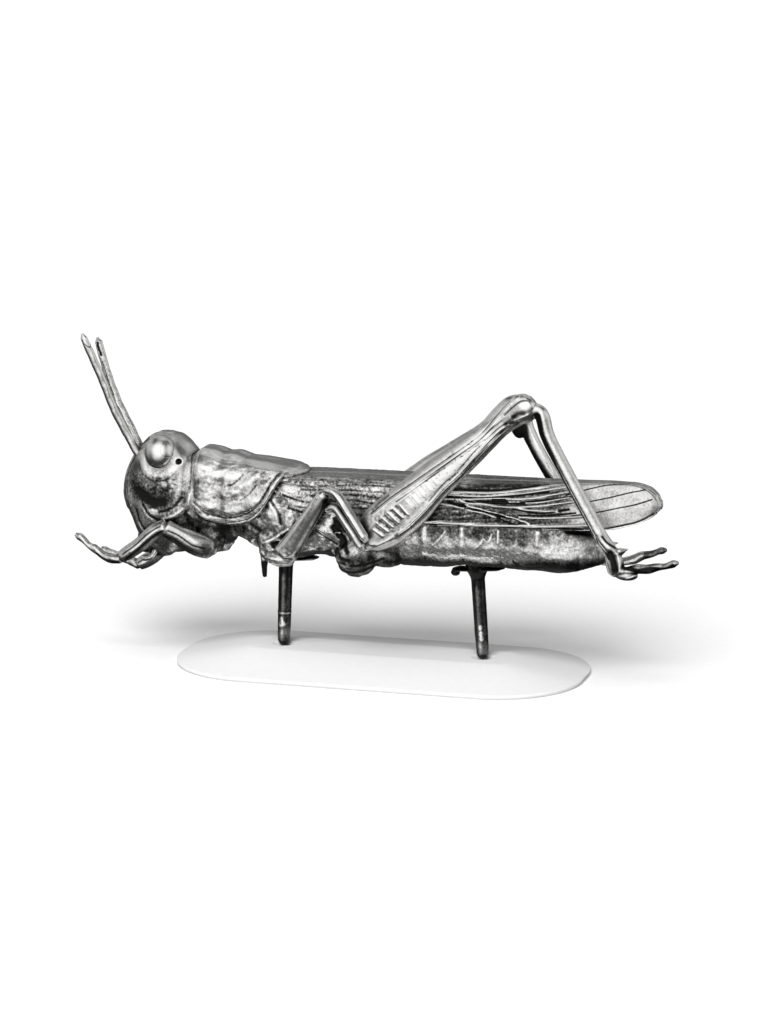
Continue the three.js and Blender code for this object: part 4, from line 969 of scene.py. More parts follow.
def cast_skin(surface, unevenness=0.02):
    """The small unevenness of cast metal, and dark metal in its hollows."""
    surface.push(unevenness * rough(surface.points, 1.3, 51, 3))
    hollow = sum(surface.depth(rounds) * tone for rounds, tone in HOLLOWS)
    surface.tarnish_and_painted_light += np.clip(hollow, *HOLLOW_TONE)


# ---- eyes ----
EYE_MARKS = [
    # painted shade down the eye's left side and under it
    ([[-35.6, 32.2], [-35.4, 31.0], [-34.8, 29.8], [-33.6, 28.8], [-32.2, 28.6]], 0.6, 0.0, 0.35),
    ([[-32.5, 33.0], [-32.9, 32.0], [-32.4, 31.0], [-31.5, 31.0], [-31.2, 32.0], [-31.6, 32.9]],
     0.09, -0.03, 0.25),
    # a painted highlight on the upper right of the eye
    ((-33.0, 31.8), (1.2, 1.4), 0.0, -0.35),
]


def eye_dome(hand):
    dome = ellipsoid(EYES[hand], EYE_RADII, EYE_TILT, 120, 80)
    dome.grain[:] = 0.15
    draw(dome, EYE_MARKS)
    cast_skin(dome, 0.012)
    return dome


# ---- antennae ----
ANTENNA_MARKS = {
    "left": [
        ((-44.6, 48.0), (0.35, 0.8), -0.05, -0.15),
        ([[-44.9, 47.2], [-44.2, 46.8], [-43.9, 47.4]], 0.1, -0.04, 0.5),
        ([[-44.9, 46.4], [-43.6, 42.4], [-42.2, 38.4], [-40.4, 35.2]], 0.28, 0.0, -0.12),
    ],
    "right": [
        ([[-45.7, 46.2], [-45.5, 45.4], [-45.1, 44.5]], 0.2, -0.15, 1.0),
        ([[-45.2, 46.9], [-44.8, 45.8], [-44.4, 44.6]], 0.14, 0.04, -0.2),
        ([[-44.8, 43.4], [-43.9, 40.9], [-42.9, 38.6]], 0.12, -0.03, 0.5),
        ([[-42.3, 37.4], [-41.3, 36.0], [-40.5, 34.4]], 0.16, 0.03, -0.35),
    ],
}


ANTENNA_LOOK = {"left": (0.0, 0.25), "right": (0.08, 0.8)}


def rolled(t, rise, spread, along):
    """The flattened, slowly twisting shaft of an antenna."""
    return -0.05 * np.abs(spread) * smooth_step(0.15, 0.4, t) + 0.02 * np.sin(along * 2.3 + 2 * rise)


def antenna_shaft(hand):
    shaft = limb(ANTENNA_PATHS[hand], ANTENNA_SIZES, 260, 48, SIDES[hand], rolled)
    shaft.tarnish_and_painted_light[:], shaft.grain[:] = ANTENNA_LOOK[hand]
    draw(shaft, ANTENNA_MARKS[hand])
    cast_skin(shaft, 0.02)
    return shaft


# ---- wings ----
# Veins on the side of the wing: bright ridges with their width, and dark grooves with their width and tone.
VEIN_RIDGES = [
    [[[9.0, 28.0], [13.5, 28.2], [18.7, 28.3], [23.5, 29.0], [29.1, 30.0]], 0.16],
    [[[9.0, 27.6], [11.1, 27.75], [16.8, 27.75], [22.1, 28.3], [29.1, 29.4]], 0.13],
    [[[10.0, 27.1], [13.3, 27.2], [18.2, 27.5], [22.1, 27.5], [29.8, 28.8]], 0.13],
    [[[12.6, 27.1], [14.6, 26.7], [19.2, 26.4], [23.6, 25.95], [27.4, 25.9]], 0.13],
    [[[13.6, 27.3], [16.2, 26.8], [20.1, 26.35], [24.0, 26.5], [30.3, 27.4]], 0.12],
    [[[9.6, 26.5], [10.4, 26.45], [13.9, 25.9], [17.3, 25.2], [19.5, 24.4]], 0.13],
    [[[14.0, 26.4], [18.2, 25.4], [21.2, 24.7], [23.4, 24.1]], 0.12],
    [[[6.0, 23.5], [9.4, 23.75], [14.6, 23.6], [20.2, 23.65], [28.4, 23.8], [33.0, 24.0]], 0.2],
    [[[22.0, 24.9], [26.0, 24.9], [31.0, 25.2]], 0.11],
    [[[20.4, 27.0], [24.0, 27.1], [29.0, 27.9]], 0.1],
]
VEIN_GROOVES = [
    [[[18.2, 27.25], [19.7, 27.3]], 0.22, 0.9],
    [[[14.2, 26.95], [18.4, 26.9], [22.6, 26.95]], 0.13, 0.6],
    [[[19.0, 24.75], [20.7, 24.4], [21.6, 24.25]], 0.3, 0.9],
    [[[14.0, 25.9], [17.0, 25.55], [19.8, 24.95]], 0.13, 0.6],
    [[[10.6, 28.45], [14.0, 28.6], [18.0, 28.65], [22.0, 29.1], [26.0, 29.7]], 0.13, 0.5],
    [[[11.0, 27.45], [15.0, 27.45], [20.0, 27.85], [26.0, 28.6]], 0.09, 0.4],
    [[[11.5, 26.8], [12.4, 26.5], [14.0, 26.3]], 0.14, 0.5],
    [[[22.0, 27.0], [26.0, 27.5], [29.5, 28.1]], 0.09, 0.4],
    [[[21.0, 26.1], [25.0, 25.6], [29.0, 26.2]], 0.1, 0.4],
    [[[22.0, 25.2], [26.0, 25.3], [30.0, 25.7]], 0.08, 0.3],
    [[[9.0, 23.3], [16.0, 23.25], [24.0, 23.35], [31.0, 23.4]], 0.14, 0.45],
]
TAIL_GROOVES = [
    [[28.5, 28.2], [31.2, 29.0], [34.2, 29.75], [37.6, 30.1]],
    [[30.0, 26.9], [32.1, 27.4], [35.0, 28.1], [37.6, 28.85], [39.8, 29.35]],
    [[29.5, 25.3], [32.8, 25.8], [35.7, 26.5], [38.6, 27.2], [40.9, 28.0]],
]
TAIL_RIM = [[36.0, 30.0], [38.2, 29.9], [40.0, 29.3], [41.2, 28.3], [41.7, 27.2], [41.6, 26.4]]
TAIL_FOOT = [[31.0, 23.4], [34.0, 23.5], [36.8, 24.1], [39.0, 24.7], [41.2, 25.9]]
FRONT_STREAKS = [
    [[-14.5, 28.1], [-9.0, 27.8], [-3.0, 28.4], [3.0, 28.5]],
    [[-11.0, 27.2], [-5.0, 27.5], [1.3, 27.6], [7.0, 27.4]],
    [[-9.6, 26.4], [-4.6, 26.9], [1.2, 26.7], [6.0, 26.4]],
    [[-9.2, 25.2], [-3.5, 26.1], [0.6, 25.8], [5.0, 25.4]],
    [[-3.6, 25.2], [0.6, 24.9], [4.0, 24.3]],
    [[-3.0, 24.1], [0.6, 23.9], [3.4, 23.3]],
]
WING_MARKS = FLANK_MARKS.copy()
WING_MARKS += [(line, 1.25 * width, 1.2 * width, -1.0) for line, width in VEIN_RIDGES]
WING_MARKS += [(line, 1.15 * width, -1.2 * width, tone * 1.7) for line, width, tone in VEIN_GROOVES]
WING_MARKS += [(line, 0.08, -0.06, 0.65) for line in TAIL_GROOVES]
WING_MARKS += [(line, 0.16, -0.04, 0.25) for line in FRONT_STREAKS]
WING_MARKS += [(TAIL_RIM, 0.06, -0.03, 0.35), (TAIL_FOOT, 0.12, -0.05, 0.7)]
TOP_MARKS = [([[11.0, 28.9], [16.0, 29.0], [22.0, 29.4], [27.0, 29.9]], 0.3, 0.0, 0.15),
             ((13.5, 29.0), (0.5, 0.3), 0.04, -0.3), ((17.5, 29.1), (2.0, 0.3), 0.0, 0.2)]
# Parts of the outer section from the crest to the lower edge, with their numbers of columns.
OUTER_SPANS = ((0.0, 0.25, 10), (0.25, 0.5, 40), (0.5, 1.0, 120))
INNER_COLUMNS = 14
ROOF_COLUMNS = 6


def wing_cover(side):
    """A folded wing: its crest and shoulder, a veined side panel, and a plain inner face."""
    x = np.linspace(WING_FRONT_X, WING_TIP_X, 640)
    crest_z, crest_y, shoulder_y, shoulder_z, low_y, low_z = rows_at(WING_ROWS, x).T
    solidity = smooth_step(WING_SOLID_FROM, WING_SOLID_BY, x)
    wide = WING_THICK + solidity * low_y
    narrow = np.minimum(1, (crest_z - low_z) / 4)
    midline = np.full(len(x), HALF_GAP)
    innermost = HALF_GAP + 0.02
    inner_top = np.maximum(innermost, shoulder_y - wide)
    inner_low = np.maximum(innermost, low_y - wide * 0.75 - solidity)
    corners = [(midline, crest_z), (crest_y, crest_z), (shoulder_y, shoulder_z),
               ((shoulder_y + low_y) / 2 + PANEL_BULGE * narrow, (shoulder_z + low_z) / 2), (low_y, low_z)]
    spans = [np.linspace(a, b, n, endpoint=False) for a, b, n in OUTER_SPANS]
    outer = curve_through(np.stack([np.stack(c, 1) for c in corners], 1), np.concatenate([*spans, [1.0]]))
    inner = []
    for f in np.linspace(1, 0, INNER_COLUMNS):
        top = shoulder_z - WING_THICK - WING_INNER_MARGIN
        low = low_z + WING_INNER_MARGIN
        inner.append(np.stack([inner_top + (inner_low - inner_top) * f, top + (low - top) * f], 1))
    for f in np.linspace(1, 0, ROOF_COLUMNS)[1:]:
        top = crest_z + (shoulder_z - crest_z) * f - WING_THICK - WING_INNER_MARGIN * f
        inner.append(np.stack([HALF_GAP + (inner_top - HALF_GAP) * f, top], 1))
    section = np.concatenate([outer, np.stack(inner, 1)], 1)
    along = np.repeat(x[:, None], section.shape[1], 1)
    wing = tube(np.stack([along, side * section[..., 0], section[..., 1]], -1))
    wing_relief(wing, side)
    return wing


def wing_relief(wing, side):
    p = wing.points
    x, z = p[:, 0], p[:, 2]
    crest_z, _, _, shoulder_z, _, low_z = rows_at(WING_ROWS, x).T
    facing = wing.normals()
    outer = smooth_step(0.1, 0.5, side * facing[:, 1] + 0.3 * facing[:, 2])
    panel = outer * smooth_step(0.3, -0.2, z - shoulder_z)
    top = outer * (1 - smooth_step(0.3, -0.2, z - shoulder_z))
    front = smooth_step(9, 3, x)
    tail = smooth_step(26, 31, x)
    middle = (1 - front) * (1 - tail)
    draw(wing, WING_MARKS, panel)
    draw(wing, TOP_MARKS, top)
    streaky = noise(np.stack([x * 0.16, p[:, 1] * 0.9, z + 0.03 * x], 1), 0.26, 8)
    dotted = noise(p * (0.7, 1, 1), 0.3, 9)
    fine = noise(p, 0.2, 10)
    ribs = np.sin((z - 0.09 * x) * 9 + 2 * noise(p * (0.3, 1, 1), 1.5, 7))
    front_face = front * (panel + top)
    wing.push(front_face * (0.03 * streaky + 0.02 * dotted) + 0.03 * middle * panel * ribs)
    low = smooth_step(25.5, 24.4, z)
    speckle = 0.25 * streaky + 0.22 * dotted + 0.15 * fine
    wing.tarnish_and_painted_light += front_face * (0.2 + speckle) + 0.1 * top * front * dotted
    wing.tarnish_and_painted_light += panel * (tail * (0.05 + 0.05 * dotted + 0.08 * fine)
                             + middle * (0.5 + 0.12 * ribs + 0.15 * dotted + 0.05 * low)
                             + 0.06 * noise(p, 1.8, 61))
    wing.tarnish_and_painted_light += top * ((1 - tail) * (1 - front) * (0.45 + 0.25 * dotted) + 0.1 * noise(p, 1.2, 62))
    wing.grain += 0.3 * front_face + panel * (0.3 * middle - 0.1 * tail)
    cast_skin(wing, 0.012)


# ---- legs ----
# Lines on the near hind femur, seen from the side: two long keels, the bars between them and the worn band.
UPPER_CARINA = [[0.8, 24.8], [4.1, 27.6], [7.0, 29.7], [9.7, 31.7], [13.4, 34.4], [17.3, 37.4], [19.6, 40.2],
                [21.7, 42.6]]
LOWER_CARINA = [[4.9, 22.4], [6.4, 23.6], [8.4, 25.6], [9.8, 27.2], [12.0, 29.8], [13.8, 31.4], [16.3, 34.4],
                [18.1, 36.4], [19.9, 38.3], [21.4, 39.4]]
CHEVRONS = [
    [[1.1, 22.7], [2.5, 21.8]],
    [[1.7, 23.7], [3.3, 22.6]],
    [[2.5, 24.5], [4.1, 23.3]],
    [[3.4, 25.3], [5.0, 24.0]],
    [[4.2, 26.0], [5.6, 24.8]],
    [[5.2, 26.6], [6.4, 25.3]],
]
FAINT_CHEVRONS = [
    [[6.1, 27.4], [7.2, 26.2]],
    [[7.0, 28.2], [8.0, 27.1]],
    [[8.0, 29.1], [8.9, 28.1]],
    [[9.0, 30.0], [9.8, 29.1]],
    [[10.0, 30.9], [10.7, 30.1]],
]
CHEVRON_STEP = np.array([0.32, 0.42])
MEDIAL_BAND = [[7.6, 27.6], [9.2, 29.4], [12.2, 31.8], [15.2, 34.6], [17.8, 37.0]]


def moved(line, shift):
    return (np.asarray(line) + shift).tolist()


HIND_FEMUR_MARKS = [
    (moved(UPPER_CARINA, [0.1, -0.1]), 0.14, 0.1, -0.4),
    (moved(UPPER_CARINA, [-0.2, 0.2]), 0.1, -0.06, 0.45),
    (moved(UPPER_CARINA, [-0.9, 0.9]), 0.5, -0.02, 0.2),
    (moved(UPPER_CARINA, [0.5, -0.5])[1:6], 0.1, -0.05, 0.4),
    (LOWER_CARINA, 0.14, 0.1, -0.25),
    (moved(LOWER_CARINA, [0.3, -0.25]), 0.1, -0.05, 0.4),
    (moved(LOWER_CARINA, [-0.3, 0.25])[3:], 0.09, -0.05, 0.35),
    (MEDIAL_BAND, 1.15, 0.05, -0.8),
    ([[5.6, 25.0], [7.0, 26.2], [8.2, 27.0]], 0.8, 0.0, 0.1),
    ((3.2, 23.8), (2.4, 1.5), 0.0, 0.18),
    ([[0.9, 25.6], [1.8, 26.6], [3.2, 27.8]], 0.3, -0.05, 0.35),
    ([[0.1, 20.2], [2.2, 20.7], [4.2, 21.6]], 0.35, 0.08, -0.15),
    # the knee
    ([[20.8, 40.8], [21.9, 41.9], [23.3, 43.0], [24.2, 43.1]], 0.14, -0.06, 0.45),
    ([[20.3, 41.1], [21.4, 42.4], [22.8, 43.5]], 0.22, 0.05, -0.3),
    ((24.0, 42.3), (0.9, 0.7), 0.05, -0.35),
    ([[22.1, 40.6], [22.9, 41.1], [23.7, 41.2]], 0.32, -0.06, 0.5),
    ([[22.4, 40.0], [23.3, 40.5], [24.3, 41.0]], 0.2, 0.06, -0.4),
    ([[20.2, 38.2], [21.3, 39.3], [22.7, 39.9]], 0.3, -0.05, 0.45),
    ([[21.0, 39.4], [21.9, 40.3], [22.4, 40.6]], 0.3, -0.03, 0.3),
]
HIND_FEMUR_MARKS += [(bar, 0.17, 0.07, -0.35) for bar in CHEVRONS]
HIND_FEMUR_MARKS += [(moved(bar, CHEVRON_STEP), 0.13, -0.05, 0.15) for bar in CHEVRONS[:5]]
HIND_FEMUR_MARKS += [(bar, 0.13, 0.02, -0.2) for bar in FAINT_CHEVRONS]
HIND_FEMUR_MARKS += [(moved(bar, CHEVRON_STEP), 0.1, -0.015, 0.12) for bar in FAINT_CHEVRONS]
HIND_TIBIA_LINE = [[26.1, 41.2], [26.7, 38.4], [28.4, 34.6], [30.3, 30.7], [32.4, 26.8], [33.9, 23.9]]
LEG_MARKS = {
    ("fore", "left"): [
        ([[-32.4, 20.9], [-34.1, 19.8], [-36.2, 17.9], [-38.4, 16.2]], 0.13, -0.05, 0.45),
        ([[-32.0, 20.2], [-33.8, 19.0], [-35.8, 17.2], [-37.8, 15.6]], 0.16, -0.06, 0.55),
        ([[-33.0, 20.2], [-34.9, 18.6], [-37.0, 16.7]], 0.25, 0.05, -0.25),
        ([[-32.0, 20.3], [-30.8, 20.9], [-29.0, 19.9], [-27.0, 18.5]], 0.4, 0.05, -0.2),
        ([[-31.2, 20.2], [-29.6, 19.5], [-27.6, 18.1], [-26.0, 17.6]], 0.13, -0.05, 0.45),
        ([[-31.6, 19.2], [-30.4, 18.9], [-28.6, 17.6], [-26.4, 16.6]], 0.3, -0.04, 0.35),
        ((-25.6, 17.4), (0.8, 1.0), -0.04, 0.4),
        ([[-40.2, 15.6], [-42.0, 16.3], [-43.8, 17.4], [-45.4, 18.6]], 0.18, 0.03, -0.2),
        ([[-39.2, 14.9], [-41.0, 15.1], [-42.6, 15.9]], 0.2, -0.04, 0.5),
        ((-43.0, 17.2), (0.35, 0.25), 0.08, 0.6),
    ],
    ("fore", "right"): [
        ([[-36.0, 15.4], [-38.0, 13.9], [-40.0, 12.4]], 0.16, -0.06, 0.4),
        ([[-36.4, 14.6], [-38.4, 13.0], [-40.4, 11.8], [-42.4, 12.5]], 0.2, 0.03, -0.2),
    ],
    ("mid", "left"): [
        ([[-13.9, 18.0], [-12.0, 20.8], [-10.0, 23.8], [-8.2, 26.4]], 0.7, 0.02, -0.25),
        ([[-11.4, 17.4], [-9.9, 19.6], [-8.0, 22.8], [-6.4, 25.6]], 0.4, -0.03, 0.5),
        ([[-10.4, 18.4], [-9.0, 20.8], [-7.2, 23.8], [-6.2, 25.2]], 0.12, 0.04, -0.15),
        ((-6.2, 26.2), (0.5, 0.7), -0.05, 0.6),
        ((-7.2, 27.9), (0.8, 0.7), 0.02, -0.35),
        ([[-9.6, 25.2], [-8.5, 27.2], [-7.2, 28.5], [-5.6, 28.5], [-4.3, 27.2], [-2.6, 24.8]],
         0.2, 0.05, -0.3),
        ([[-8.4, 25.6], [-7.5, 27.2], [-6.6, 27.9], [-5.6, 27.8]], 0.1, -0.04, 0.35),
        ((-7.6, 27.0), (0.3, 0.3), 0.04, -0.4),
        ([[-2.6, 25.0], [-1.2, 22.9], [0.1, 21.0]], 0.25, 0.03, -0.3),
        ([[-4.6, 25.4], [-3.0, 23.5], [-1.6, 21.9]], 0.2, 0.03, -0.15),
        ([[-14.6, 18.0], [-13.6, 17.2], [-12.2, 16.9]], 0.1, -0.04, 0.5),
    ],
    ("hind", "left"): HIND_FEMUR_MARKS + [
        (moved(HIND_TIBIA_LINE, [-0.55, -0.25]), 0.36, -0.1, 1.1),
        (moved(HIND_TIBIA_LINE, [-0.5, -0.2])[:3], 0.5, -0.04, 0.8),
        (moved(HIND_TIBIA_LINE, [0.25, 0.1]), 0.4, 0.04, -0.35),
        (moved(HIND_TIBIA_LINE, [-1.0, -0.45]), 0.12, 0.05, -0.3),
        ([[26.0, 41.0], [26.2, 40.2], [26.4, 39.0]], 0.16, -0.03, 0.35),
        # the hollow of the foot, its light rim, and the straps above it
        ([[36.3, 21.0], [36.7, 20.1], [36.9, 19.2], [37.0, 18.6]], 0.55, -0.28, 1.4),
        ([[36.8, 19.1], [37.0, 18.4]], 0.25, 0.05, -0.5),
        ([[37.2, 21.2], [37.6, 20.3], [37.7, 19.2], [37.4, 18.1], [36.9, 17.9]], 0.14, 0.08, -0.4),
        ([[35.1, 23.5], [35.8, 22.7], [36.9, 22.0]], 0.18, -0.08, 0.9),
        ([[34.2, 23.2], [34.5, 22.2], [35.4, 21.2], [36.0, 20.3]], 0.14, -0.06, 0.7),
        ([[35.1, 22.6], [36.0, 21.8]], 0.3, 0.04, -0.3),
        ([[37.2, 20.9], [37.9, 21.2]], 0.3, -0.05, 0.3),
        # the twist of the foot
        ([[38.2, 19.3], [40.0, 18.85], [42.0, 19.2], [44.1, 19.2], [45.4, 19.8]], 0.3, -0.05, 0.8),
        ([[41.0, 19.4], [42.4, 19.6], [43.6, 19.8]], 0.16, 0.05, -0.3),
        ([[38.6, 18.6], [39.6, 18.5]], 0.16, 0.05, -0.3),
        ([[38.6, 17.5], [39.4, 17.8], [40.0, 18.1]], 0.14, 0.06, -0.4),
        ([[37.0, 17.5], [38.2, 17.2]], 0.3, 0.0, 0.7),
        ((45.8, 20.1), (0.3, 0.3), 0.04, -0.3),
    ],
    ("hind", "right"): [
        ([[19.3, 35.9], [20.4, 33.2], [22.0, 30.6], [23.8, 28.0]], 0.55, -0.03, 0.9),
        ([[20.5, 36.1], [21.4, 34.2], [22.4, 32.6], [23.6, 30.8], [25.4, 28.6]], 0.25, 0.08, -0.5),
        ([[21.0, 36.1], [22.0, 34.0], [23.0, 32.2], [24.2, 30.4]], 0.12, -0.05, 0.5),
        ((18.6, 35.6), (1.6, 1.9), 0.0, 1.0),
    ],
}
LIMB_DETAIL = {"femur": (260, 120), "tibia": (220, 56), "tarsus": (140, 48)}
# Tarnish and grain of each pair of legs.
LEG_LOOK = {"fore": (0.14, 0.4), "mid": (0.08, 0.2), "hind": (-0.03, 0.2)}
MID_ROOT_TOP_Z = 19.0
HIND_FOOT_X = 37.6
PITTED_PATCH = [(3.6, 24.2), (3.4, 2.2)]


def hind_femur_relief(t, rise, spread, along):
    """The flat middle of the outer face of a hind femur."""
    outer = smooth_step(0.0, 0.3, spread)
    body = smooth_step(0.02, 0.08, t) * smooth_step(0.86, 0.76, t)
    inside = smooth_step(-0.52, -0.37, rise) * smooth_step(0.46, 0.31, rise)
    return -0.14 * outer * body * inside


def twisted(t, rise, spread, along):
    """The slow twist of a cast foot."""
    return 0.06 * np.sin(along * 2.2 + 2 * rise) * smooth_step(0.05, 0.2, t)


def leg_shapes(pair, hand):
    side = SIDES[hand]
    shapes = []
    for part, path in LEGS[pair][hand].items():
        count, around = LIMB_DETAIL[part]
        relief = None
        if part == "tarsus" and pair != "mid":
            relief = twisted
        if part == "femur" and pair == "hind":
            relief = hind_femur_relief
        shapes.append(limb(path, LIMB_SIZES[pair][part], count, around, side, relief))
    if pair == "hind":
        shapes.append(limb(SPURS[hand], SPUR_SIZES[hand], 30, 24, side))
        centre, radii = HEEL if hand == "left" else FAR_KNEE
        shapes.append(ellipsoid(centre, radii))
    if pair == "mid":
        for (x, y, z), radii in MID_ROOTS:
            shapes.append(ellipsoid((x, side * y, z), radii, MID_ROOT_TILT))
    return shapes


def leg(pair, hand):
    """A whole leg as one casting, with its marks, its wear and painted shade on its undersides."""
    whole = fused(leg_shapes(pair, hand), VOXELS["leg"])
    whole.relax(5)
    whole.tarnish_and_painted_light[:], whole.grain[:] = LEG_LOOK[pair]
    facing = whole.normals()
    marks = LEG_MARKS.get((pair, hand), LEG_MARKS.get((pair, "left")))
    draw(whole, marks, smooth_step(0.1, 0.4, np.abs(facing[:, 1])))
    # Painted shade: darker where the surface faces down.
    whole.tarnish_and_painted_light += 0.25 * smooth_step(0.1, -0.8, facing[:, 2]) + 0.08 * noise(whole.points, 1.5, 71)
    if pair == "mid":
        root = smooth_step(MID_ROOT_TOP_Z, MID_ROOT_TOP_Z - 1.6, whole.points[:, 2])
        whole.push(0.1 * root * rough(whole.points, 0.9, 75, 2))
        whole.tarnish_and_painted_light += 0.14 * root * noise(whole.points, 0.5, 76)
    if pair == "hind":
        tarnish_hind_leg(whole)
    cast_skin(whole, 0.015)
    return whole


def tarnish_hind_leg(whole):
    """The dark foot, the specks in the worn band and the pits at the root of the femur."""
    p = whole.points
    foot = smooth_step(HIND_FOOT_X, HIND_FOOT_X + 0.8, p[:, 0])
    worn = stroke(p, MEDIAL_BAND, 1.3)
    pitted = spot(p, *PITTED_PATCH, 0.5)
    whole.tarnish_and_painted_light += foot * (0.4 + 0.35 * noise(p, 0.9, 72))
    whole.tarnish_and_painted_light += worn * np.maximum(noise(p * (1, 1, 1.6), 0.4, 73) - 0.25, 0) * 1.6
    whole.tarnish_and_painted_light += pitted * 0.3 * noise(p, 0.3, 74)


# ---- pins ----
PIN_RING_Z = 7.3
# Painted highlights on the shafts, seen from the side as (x, z).
PIN_PAINTED_HIGHLIGHTS = {"front": [(-15.5, 6.3), (-15.2, 5.7), (-15.7, 5.6)],
              "rear": [(15.3, 7.1), (15.5, 5.5), (15.4, 6.2)]}


def pin(name):
    """A pin and its plate, dark at the top and lighter at the foot, with painted reflections and highlights
    down its shaft.
    """
    spec = PINS[name]
    top, tip = (np.asarray(spec[k], float) for k in ("top", "tip"))
    shaft = limb([top, (top + tip) / 2, tip], PIN_SIZES[name], 220, 64)
    wide = spec["half_width"]
    plate_sizes = [[0, PLATE_END, PLATE_END, 0.5 * wide], [0.12, PLATE_HALF, PLATE_HALF, wide],
                   [0.88, PLATE_HALF, PLATE_HALF, wide], [1, PLATE_END, PLATE_END, 0.5 * wide]]
    shapes = [shaft, limb(spec["plate"], plate_sizes, 80, 96)]
    if name == "rear":
        shapes.append(ellipsoid(*PLATE_HOOK))
    whole = fused(shapes, VOXELS["pin"])
    whole.relax(4)
    z = whole.points[:, 2]
    whole.tarnish_and_painted_light[:] = 0.55
    whole.grain[:] = 0.35
    # Painted reflections: a dark stripe down the side towards the head and a light one near the middle.
    across = whole.points[:, 0] - np.interp(z, [tip[2], top[2]], [tip[0], top[0]])
    whole.tarnish_and_painted_light += 0.35 * bump_at(across + 0.8, 0.35) - 0.25 * bump_at(across + 0.1, 0.25)
    draw(whole, [((x, highlight_z), (0.3, 0.4), 0.03, -0.6) for x, highlight_z in PIN_PAINTED_HIGHLIGHTS[name]])
    if name == "front":
        # A raised ring made lighter as a painted highlight, and the plate's rear end made lighter.
        ring = bump_at(z - PIN_RING_Z, 0.14)
        whole.push(0.05 * ring)
        whole.tarnish_and_painted_light -= 0.35 * ring + 0.6 * smooth_step(-12.6, -11.0, whole.points[:, 0])
    # Lighter towards the foot, and darker at the top as painted shade under the body.
    whole.tarnish_and_painted_light -= 0.25 * smooth_step(5.4, 4.2, z)
    whole.tarnish_and_painted_light += 0.45 * smooth_step(12.6, 14.2, z) + 0.2
    cast_skin(whole, 0.012)
    return whole


# ---- base ----
def base_plate():
    """A low plate with round corners and long sloping edges, and a dimple for the tip of each pin."""
    low, high = (np.asarray(v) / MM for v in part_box("stand_base"))
    half = (high - low) / 2
    x = -half[0] * np.cos(np.linspace(0, math.pi, 260))
    past_corner = np.maximum(np.abs(x) - (half[0] - BASE_CORNER), 0)
    width = half[1] - BASE_CORNER + np.sqrt(np.maximum(BASE_CORNER ** 2 - past_corner ** 2, 0))
    y = width[:, None] * np.linspace(-1, 1, 121)
    x = np.repeat(x[:, None], y.shape[1], 1)
    over_x, over_y = (np.abs(v) - (half[k] - BASE_CORNER) for k, v in enumerate((x, y)))
    round_part = np.hypot(np.maximum(over_x, 0), np.maximum(over_y, 0))
    inset = BASE_CORNER - round_part - np.minimum(np.maximum(over_x, over_y), 0)
    z = low[2] + BASE_EDGE + (high[2] - low[2] - BASE_EDGE) * np.clip(inset / BASE_SLOPE, 0, 1)
    for spec in PINS.values():
        tip = spec["tip"]
        z -= SOCKET_DEPTH * smooth_step(SOCKET_MOUTH, SOCKET_FLOOR, np.hypot(x - tip[0], y - tip[1]))
    upper = np.stack([x, y, z], -1)
    lower = np.stack([x, y, np.full_like(z, low[2])], -1)[:, ::-12]
    return tube(np.concatenate([upper, lower], 1))


# ---- shader nodes ----
class Nodes:
    """Short calls for the nodes of one tree. An input may be a number, a colour or another node's socket."""

    def __init__(self, tree):
        self.tree = tree
        tree.nodes.clear()

    def add(self, kind, inputs=(), **settings):
        node = self.tree.nodes.new(kind)
        for key, value in settings.items():
            setattr(node, key, value)
        for key, value in dict(inputs).items():
            socket = node.inputs[key]
            if isinstance(value, bpy.types.NodeSocket):
                self.tree.links.new(value, socket)
            else:
                socket.default_value = value
        return node

    def math(self, operation, a, b=0.0, c=0.0):
        return self.add("ShaderNodeMath", {0: a, 1: b, 2: c}, operation=operation).outputs[0]

    def weighted(self, *terms):
        """The sum of (socket, weight) pairs and plain numbers."""
        total = 0.0
        for term in terms:
            if isinstance(term, tuple):
                total = self.math("MULTIPLY_ADD", term[0], term[1], total)
            else:
                total = self.math("ADD", total, term)
        return total

    def ramp(self, value, stops):
        """A colour that goes through stops of (place, colour)."""
        node = self.add("ShaderNodeValToRGB", {0: value})
        elements = node.color_ramp.elements
        while len(elements) < len(stops):
            elements.new(0.5)
        for element, (at, colour) in zip(elements, stops):
            element.position = at
            element.color = (*colour, 1)
        return node.outputs["Color"]

    def map(self, value, from_low, from_high, to_low, to_high, kind="LINEAR"):
        inputs = {"Value": value, "From Min": from_low, "From Max": from_high, "To Min": to_low,
                  "To Max": to_high}
        return self.add("ShaderNodeMapRange", inputs, interpolation_type=kind).outputs["Result"]


def new_material(name):
    """A material, the short calls for its nodes, and places on the object."""
    material = bpy.data.materials.new(name)
    material.use_nodes = True
    n = Nodes(material.node_tree)
    return material, n, n.add("ShaderNodeTexCoord").outputs["Object"]


METAL_TONES = [(0.0, (0.96, 0.955, 0.945)), (0.35, (0.6, 0.595, 0.585)), (0.6, (0.2, 0.198, 0.194)),
               (0.95, (0.022, 0.0215, 0.021))]


